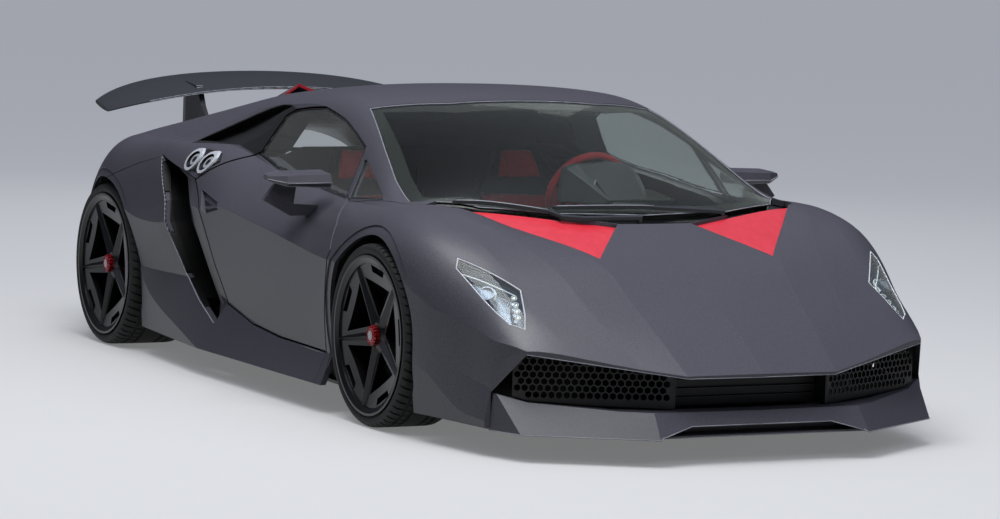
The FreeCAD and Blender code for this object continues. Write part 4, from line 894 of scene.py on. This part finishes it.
def make_pocket_shade_and_wiper_highlights():
    """Painted shade in the corner of the finger pockets, and a pale line of painted highlight on each wiper
    blade.
    """
    for side, sign in SIDES.items():
        skin = skin_of("door_" + side)
        corners = [skin.ray_cast(Vector((x, OUTSIDE * sign, z)), Vector((0.0, -sign, 0.0)))[0]
                   for x, z in POCKET_SHADE]
        form = bmesh.new()
        lofted(form, [[corner + Vector((0.0, sign * lift, 0.0)) for corner in corners]
                      for lift in (-0.003, 0.005)])
        place("pocket_shade_" + side, to_mesh(form, "pocket_shade"), "black", "door_" + side)
    skin = skin_of("cowl")
    form = bmesh.new()
    for a, b in WIPER_HIGHLIGHTS:
        points = []
        for k in range(9):
            flat = Vector(a).lerp(Vector(b), k / 8)
            found = skin.ray_cast(Vector((flat.x, flat.y, OUTSIDE)), Vector((0.0, 0.0, -1.0)))[0]
            points.append(found + Vector((0.0, 0.0, WIPER_HIGHLIGHT_LIFT)))
        tube(form, points, WIPER_HIGHLIGHT_RADIUS)
    place("wiper_spines", to_mesh(form, "wiper_spines"), "edge", "body", True)


# Steering wheel: up and across in its own plane, in metres, and its tilt
WHEEL_CENTRE = Vector((0.330, 0.325, 0.760))
WHEEL_TILT = math.radians(-68)
WHEEL_RADIUS = 0.163
WHEEL_FLAT = -0.128     # the rim is flat below here
HUB_PLATE = ((-0.152, 0.014), (-0.062, 0.034), (-0.044, 0.048), (0.044, 0.048), (0.062, 0.034),
             (0.152, 0.014), (0.152, -0.012), (0.056, -0.026), (0.034, -0.044), (0.015, -0.124),
             (-0.015, -0.124), (-0.034, -0.044), (-0.056, -0.026), (-0.152, -0.012))
PADDLE = ((0.062, 0.050), (0.112, 0.078), (0.124, 0.052), (0.104, -0.030), (0.074, -0.048), (0.066, 0.0))


def on_wheel(across, up, out=0.0):
    """A point of the steering wheel's own plane."""
    turn = Matrix.Rotation(WHEEL_TILT, 3, "Y")
    return WHEEL_CENTRE + turn @ Vector((up, across, out))


def plate(form, outline, low, high, place_point, ease=0.0):
    """A flat plate with an outline between two heights, its upper edge drawn in."""
    middle = Vector((sum(p[0] for p in outline), sum(p[1] for p in outline))) / len(outline)
    rings = []
    for height, inward in ((low, 0.0), (high - ease, 0.0), (high, ease)):
        ring = []
        for point in outline:
            flat = Vector(point)
            flat -= (flat - middle).normalized() * inward
            ring.append(place_point(flat.x, flat.y, height))
        rings.append(ring)
    lofted(form, rings)


def make_steering_wheel():
    """Red suede rim, spoked plate, hub, paddles and column."""
    form = bmesh.new()
    rings = []
    for k in range(72):
        angle = math.radians(5 * k)
        across, up = WHEEL_RADIUS * math.sin(angle), max(WHEEL_RADIUS * math.cos(angle), WHEEL_FLAT)
        out = Vector((across, up)).normalized()
        thick = 0.0135 + 0.0022 * max(0.0, math.cos(2 * angle + math.pi)) ** 4
        ring = []
        for t in (math.radians(30 * j) for j in range(12)):
            wide = thick * math.cos(t)
            ring.append(form.verts.new(on_wheel(across + out.x * wide, up + out.y * wide,
                                                thick * 1.2 * math.sin(t))))
        rings.append(ring)
    closed_skin(form, rings)
    rim = place("steering_rim", to_mesh(form, "steering_rim"), "suede", "body", True)
    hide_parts("steering_wheel")
    form = bmesh.new()
    plate(form, HUB_PLATE, -0.007, 0.006, on_wheel, 0.003)
    for sign in (-1, 1):
        outline = [(across * sign, up) for across, up in PADDLE][::sign]
        plate(form, outline, -0.034, -0.030, on_wheel, 0.001)
    place("steering_plate", to_mesh(form, "steering_plate"), "red", "body")
    form = bmesh.new()
    # Hub and column: radius, degrees between corners, lower and upper end, and how far the end is drawn in
    for radius, step, low_end, high_end, ease in ((0.036, 45, 0.006, 0.022, 0.006),
                                                  (0.030, 30, -0.285, -0.007, 0.0)):
        outline = [(radius * math.sin(math.radians(a)), radius * math.cos(math.radians(a)))
                   for a in range(0, 360, step)]
        plate(form, outline, low_end, high_end, on_wheel, ease)
    place("steering_hub", to_mesh(form, "steering_hub"), "black", "body")


# Right seat, seen from the side: x and z of the shell's inner surface from the front edge of the squab to
# the top, half width and height of the raised sides there, in metres
SEAT_MIDDLE = -0.350
SEAT_PATH = (
    (0.322, 0.226, 0.215, 0.030), (0.250, 0.202, 0.228, 0.052), (0.120, 0.182, 0.236, 0.080),
    (0.000, 0.178, 0.238, 0.105), (-0.090, 0.190, 0.238, 0.130), (-0.150, 0.232, 0.238, 0.140),
    (-0.182, 0.300, 0.236, 0.132), (-0.208, 0.390, 0.232, 0.115), (-0.238, 0.500, 0.232, 0.112),
    (-0.268, 0.610, 0.236, 0.110), (-0.294, 0.700, 0.232, 0.092), (-0.315, 0.768, 0.168, 0.050),
    (-0.332, 0.820, 0.128, 0.030), (-0.350, 0.878, 0.112, 0.016),
)
SHELL_WALL = 0.010
# Seat rails: distance from the seat's middle, section across and up, and ends along the car
RAIL_OUT = 0.15
RAIL_SECTION = ((-0.014, 0.149), (0.014, 0.149), (0.014, 0.172), (-0.014, 0.172))
RAIL_ENDS = (-0.06, 0.21)


def seat_frame(k):
    """Place and facing of a row of the seat."""
    x, z = SEAT_PATH[k][:2]
    back, front = SEAT_PATH[max(k - 1, 0)], SEAT_PATH[min(k + 1, len(SEAT_PATH) - 1)]
    along = Vector((front[0] - back[0], 0.0, front[1] - back[1])).normalized()
    return Vector((x, SEAT_MIDDLE, z)), Vector((along.z, 0.0, -along.x))


def seat_point(k, across, out):
    """A point across a row of the seat, this far out from its inner surface."""
    base, facing = seat_frame(k)
    return base + facing * out + Vector((0.0, across, 0.0))


def seat_shell():
    """Carbon bucket with raised sides, on two rails."""
    form = bmesh.new()
    rings = []
    for k, (x, z, half, rise) in enumerate(SEAT_PATH):
        t = SHELL_WALL
        outer = [(-half, rise), (-half, 0.4 * rise), (-half + 0.022, -t), (half - 0.022, -t),
                 (half, 0.4 * rise), (half, rise)]
        inner = [(half - t, rise), (half - t - 0.004, 0.4 * rise + 0.004), (half - 0.034, 0.0),
                 (-half + 0.034, 0.0), (-half + t + 0.004, 0.4 * rise + 0.004), (-half + t, rise)]
        rings.append([seat_point(k, across, out) for across, out in outer + inner])
    lofted(form, rings)
    for across in (-RAIL_OUT, RAIL_OUT):
        y = SEAT_MIDDLE + across
        section = [(y + dy, z) for dy, z in RAIL_SECTION]
        lofted(form, [[Vector((x, y_at, z)) for y_at, z in section] for x in RAIL_ENDS])
    return form


# Pads of the right seat: rows of the path, half width, thickness, and channels across at these rows
PADS = (
    ("squab", (0, 1, 2, 3, 4), 0.190, 0.040, (1.5, 2.5, 3.3)),
    ("back", (6, 7, 8, 9, 10), 0.186, 0.034, (6.8, 7.7, 8.6, 9.4)),
    ("head", (11, 12, 13), 0.098, 0.030, ()),
)
CHANNEL_DEPTH = 0.006
CHANNEL_WIDTH = 0.008
ROW_LENGTH = 0.11       # metres that one row of the seat stands for, in the channels' spacing
SIDE_CHANNEL = 0.62     # lengthwise channels, as a share of the pad's half width
PAD_FLOOR = 0.012       # channels cut only above this height
PAD_VOXEL = 0.006
PAD_HELD = 0.008        # the cloth is held to the shell below this height
PAD_PRESSURE = 4.0
PAD_FRAMES = 20
PAD_CAP = 0.024         # how far a point of a pad may swell


def pad_form(rows, half, thick):
    """Flat-bottomed pad with rounded edges along rows of the seat."""
    form = bmesh.new()
    rings = []
    for n, k in enumerate(rows):
        share = 0.72 if n in (0, len(rows) - 1) else 1.0
        width = min(half, SEAT_PATH[k][2] - 0.044)
        section = [(-width, 0.004), (-width * 0.5, 0.002), (0.0, 0.002), (width * 0.5, 0.002), (width, 0.004),
                   (width, 0.018 * share), (width * 0.88, thick * share), (width * 0.4, thick * share * 0.9),
                   (-width * 0.4, thick * share * 0.9), (-width * 0.88, thick * share),
                   (-width, 0.018 * share)]
        rings.append([seat_point(k, across, out) for across, out in section])
    lofted(form, rings)
    return form


def on_path(point):
    """Row number, with its fraction, and height above the shell of a point."""
    best = None
    for k in range(len(SEAT_PATH) - 1):
        a, b = Vector(SEAT_PATH[k][:2]), Vector(SEAT_PATH[k + 1][:2])
        flat = Vector((point.x, point.z)) - a
        run = b - a
        share = min(1.0, max(0.0, flat.dot(run) / run.length_squared))
        off = flat - run * share
        if best is None or off.length < best[2]:
            best = (k + share, run.normalized().cross(off) * -1.0, off.length)
    return best


def swollen(mesh, name):
    """The padded form that pressure gives a pad whose lower side is held."""
    piece = bpy.data.objects.new(name, mesh)
    bpy.context.scene.collection.objects.link(piece)
    even = piece.modifiers.new("even", "REMESH")
    even.mode = "VOXEL"
    even.voxel_size = PAD_VOXEL
    piece.data = evaluated(piece)
    piece.modifiers.clear()
    rest = [vert.co.copy() for vert in piece.data.vertices]
    held = piece.vertex_groups.new(name="held")
    held.add([k for k, co in enumerate(rest) if on_path(co)[1] < PAD_HELD], 1.0, "REPLACE")
    cloth = piece.modifiers.new("swell", "CLOTH")
    cloth.settings.vertex_group_mass = "held"
    cloth.settings.use_pressure = True
    cloth.settings.uniform_pressure_force = PAD_PRESSURE
    cloth.settings.effector_weights.gravity = 0.0
    for number in range(1, PAD_FRAMES + 1):
        bpy.context.scene.frame_set(number)
    piece.data = evaluated(piece)
    piece.modifiers.clear()
    bpy.context.scene.frame_set(1)
    for vert, start in zip(piece.data.vertices, rest):
        moved = vert.co - start
        if moved.length > PAD_CAP:
            vert.co = start + moved * (PAD_CAP / moved.length)
    result = piece.data
    bpy.data.objects.remove(piece)
    return result


def make_seats():
    """Both bucket seats with padded red suede; the left one is the right one mirrored."""
    for side, sign in SIDES.items():
        form = seat_shell()
        if sign > 0:
            bmesh.ops.scale(form, vec=(1.0, -1.0, 1.0), verts=form.verts)
        shell = place("seat_shell_" + side, to_mesh(form, "seat_shell"), "structure", "body")
        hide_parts("seat_" + side)
    for label, rows, half, thick, channels in PADS:
        mesh = swollen(to_mesh(pad_form(rows, half, thick), label), label)
        for vert in mesh.vertices:
            row, height = on_path(vert.co)[:2]
            if height < PAD_FLOOR:
                continue
            gap = min([abs(row - channel) * ROW_LENGTH for channel in channels]
                      + [abs(abs(vert.co.y - SEAT_MIDDLE) - half * SIDE_CHANNEL)])
            facing = seat_frame(min(int(row), len(SEAT_PATH) - 2))[1]
            vert.co -= facing * CHANNEL_DEPTH * math.exp(-(gap / CHANNEL_WIDTH) ** 2)
        for side, sign in SIDES.items():
            form = bmesh.new()
            form.from_mesh(mesh)
            if sign > 0:
                bmesh.ops.scale(form, vec=(1.0, -1.0, 1.0), verts=form.verts)
            piece = place("seat_" + label + "_pad_" + side, to_mesh(form, label), "suede", "body",
                          True)


# Stage, light and camera

# Lamps: name, place, size, watts, and whether shiny surfaces mirror them. They face LIT_POINT
LAMPS = (
    ("key", (2.0, -1.8, 8.0), (5.0, 5.0), 480.0, True),
    ("front", (9.0, -1.0, 6.0), (4.0, 2.0), 60.0, True),
    ("rear", (-8.0, 3.0, 5.0), (5.0, 3.0), 60.0, False),
)
LIT_POINT = Vector((0.0, 0.0, 0.5))
# Camera solved from the photograph: place in metres, yaw, pitch and roll in degrees, lens and sensor in mm
CAMERA_PLACE = (12.8936, -6.4270, 1.8239)
CAMERA_TURN = (153.0717, -5.33298, 1.71943)
CAMERA_LENS = 132.4
CAMERA_SENSOR = 36.0


def make_stage():
    """Pale floor and surroundings, bright from above and dim at the sides, and soft lamps."""
    bpy.ops.mesh.primitive_plane_add(size=200.0)
    floor = bpy.context.object
    floor.name = "studio_floor"
    # Floor paint: pale where it is seen or mirrored, darker where it only throws light up, as grass does
    material, tree, shader = finish("pale_floor", Roughness=0.85, Specular_IOR_Level=0.1,
                                    Emission_Color="#DADBDC")
    path = add(tree, "ShaderNodeLightPath")
    seen = both_of(tree, path.outputs["Is Camera Ray"], path.outputs["Is Glossy Ray"], "MAXIMUM")
    seen = both_of(tree, seen, path.outputs["Is Transmission Ray"], "MAXIMUM")
    tone = add(tree, "ShaderNodeMix", {"data_type": "RGBA", 6: linear("#6A6C64"), 7: linear("#C4C4C2")},
               {0: seen})
    glow = add(tree, "ShaderNodeMath", {"operation": "MULTIPLY", 1: 0.24}, {0: seen})
    tree.links.new(tone.outputs[2], shader.inputs["Base Color"])
    tree.links.new(glow.outputs[0], shader.inputs["Emission Strength"])
    floor.data.materials.append(material)
    world = bpy.data.worlds.new("studio")
    bpy.context.scene.world = world
    world.use_nodes = True
    tree = world.node_tree
    path = add(tree, "ShaderNodeLightPath")
    seen = both_of(tree, path.outputs["Is Camera Ray"], path.outputs["Is Transmission Ray"], "MAXIMUM")
    looking = add(tree, "ShaderNodeTexCoord").outputs["Generated"]
    upward = add(tree, "ShaderNodeSeparateXYZ", links={0: looking})
    above = add(tree, "ShaderNodeMath", {"operation": "MAXIMUM", 1: 0.0}, {0: upward.outputs["Z"]})
    squared = add(tree, "ShaderNodeMath", {"operation": "POWER", 1: 2.0}, {0: above.outputs[0]})
    strength = add(tree, "ShaderNodeMapRange", {"To Min": 0.06, "To Max": 1.1}, {"Value": squared.outputs[0]})
    lit = tree.nodes["Background"]
    lit.inputs["Color"].default_value = linear("#C9D0E6")
    tree.links.new(strength.outputs["Result"], lit.inputs["Strength"])
    pale = add(tree, "ShaderNodeBackground", {"Color": linear("#E6E7E8"), "Strength": 0.9})
    mix = add(tree, "ShaderNodeMixShader", links={0: seen, 1: lit.outputs[0], 2: pale.outputs[0]})
    tree.links.new(mix.outputs[0], tree.nodes["World Output"].inputs["Surface"])
    for name, place_at, size, power, mirrored in LAMPS:
        lamp = bpy.data.lights.new(name, "AREA")
        lamp.shape = "RECTANGLE"
        lamp.size, lamp.size_y = size
        lamp.energy = power
        holder = bpy.data.objects.new(name, lamp)
        bpy.context.scene.collection.objects.link(holder)
        holder.location = place_at
        holder.rotation_euler = (LIT_POINT - Vector(place_at)).to_track_quat("-Z", "Y").to_euler()
        holder.visible_glossy = mirrored


def make_camera():
    """Camera at the photograph's place: a long lens ahead of the right front wheel."""
    data = bpy.data.cameras.new("camera")
    data.lens, data.sensor_width = CAMERA_LENS, CAMERA_SENSOR
    data.clip_start, data.clip_end = 0.1, 200.0
    camera = bpy.data.objects.new("camera", data)
    yaw, pitch, roll = (math.radians(a) for a in CAMERA_TURN)
    ahead = Vector((math.cos(pitch) * math.cos(yaw), math.cos(pitch) * math.sin(yaw), math.sin(pitch)))
    right = ahead.cross(Vector((0, 0, 1))).normalized()
    up = right.cross(ahead)
    right, up = right * math.cos(roll) + up * math.sin(roll), up * math.cos(roll) - right * math.sin(roll)
    turn = Matrix((right, up, -ahead)).transposed().to_4x4()
    camera.matrix_world = Matrix.Translation(CAMERA_PLACE) @ turn
    bpy.context.scene.collection.objects.link(camera)
    bpy.context.scene.camera = camera
    bpy.context.scene.view_settings.view_transform = "Standard"


make_camera()
make_stage()
dress_nodes()
for axle_name in WHEELS:
    for side_name in SIDES:
        make_tyre(axle_name, side_name)
make_lamps()
make_mirror_glass()
make_seals()
make_screen_border()
make_edge_highlights()
make_intake_teeth()
make_inner_panels()
make_instrument_hood()
make_pocket_shade_and_wiper_highlights()
make_steering_wheel()
make_seats()
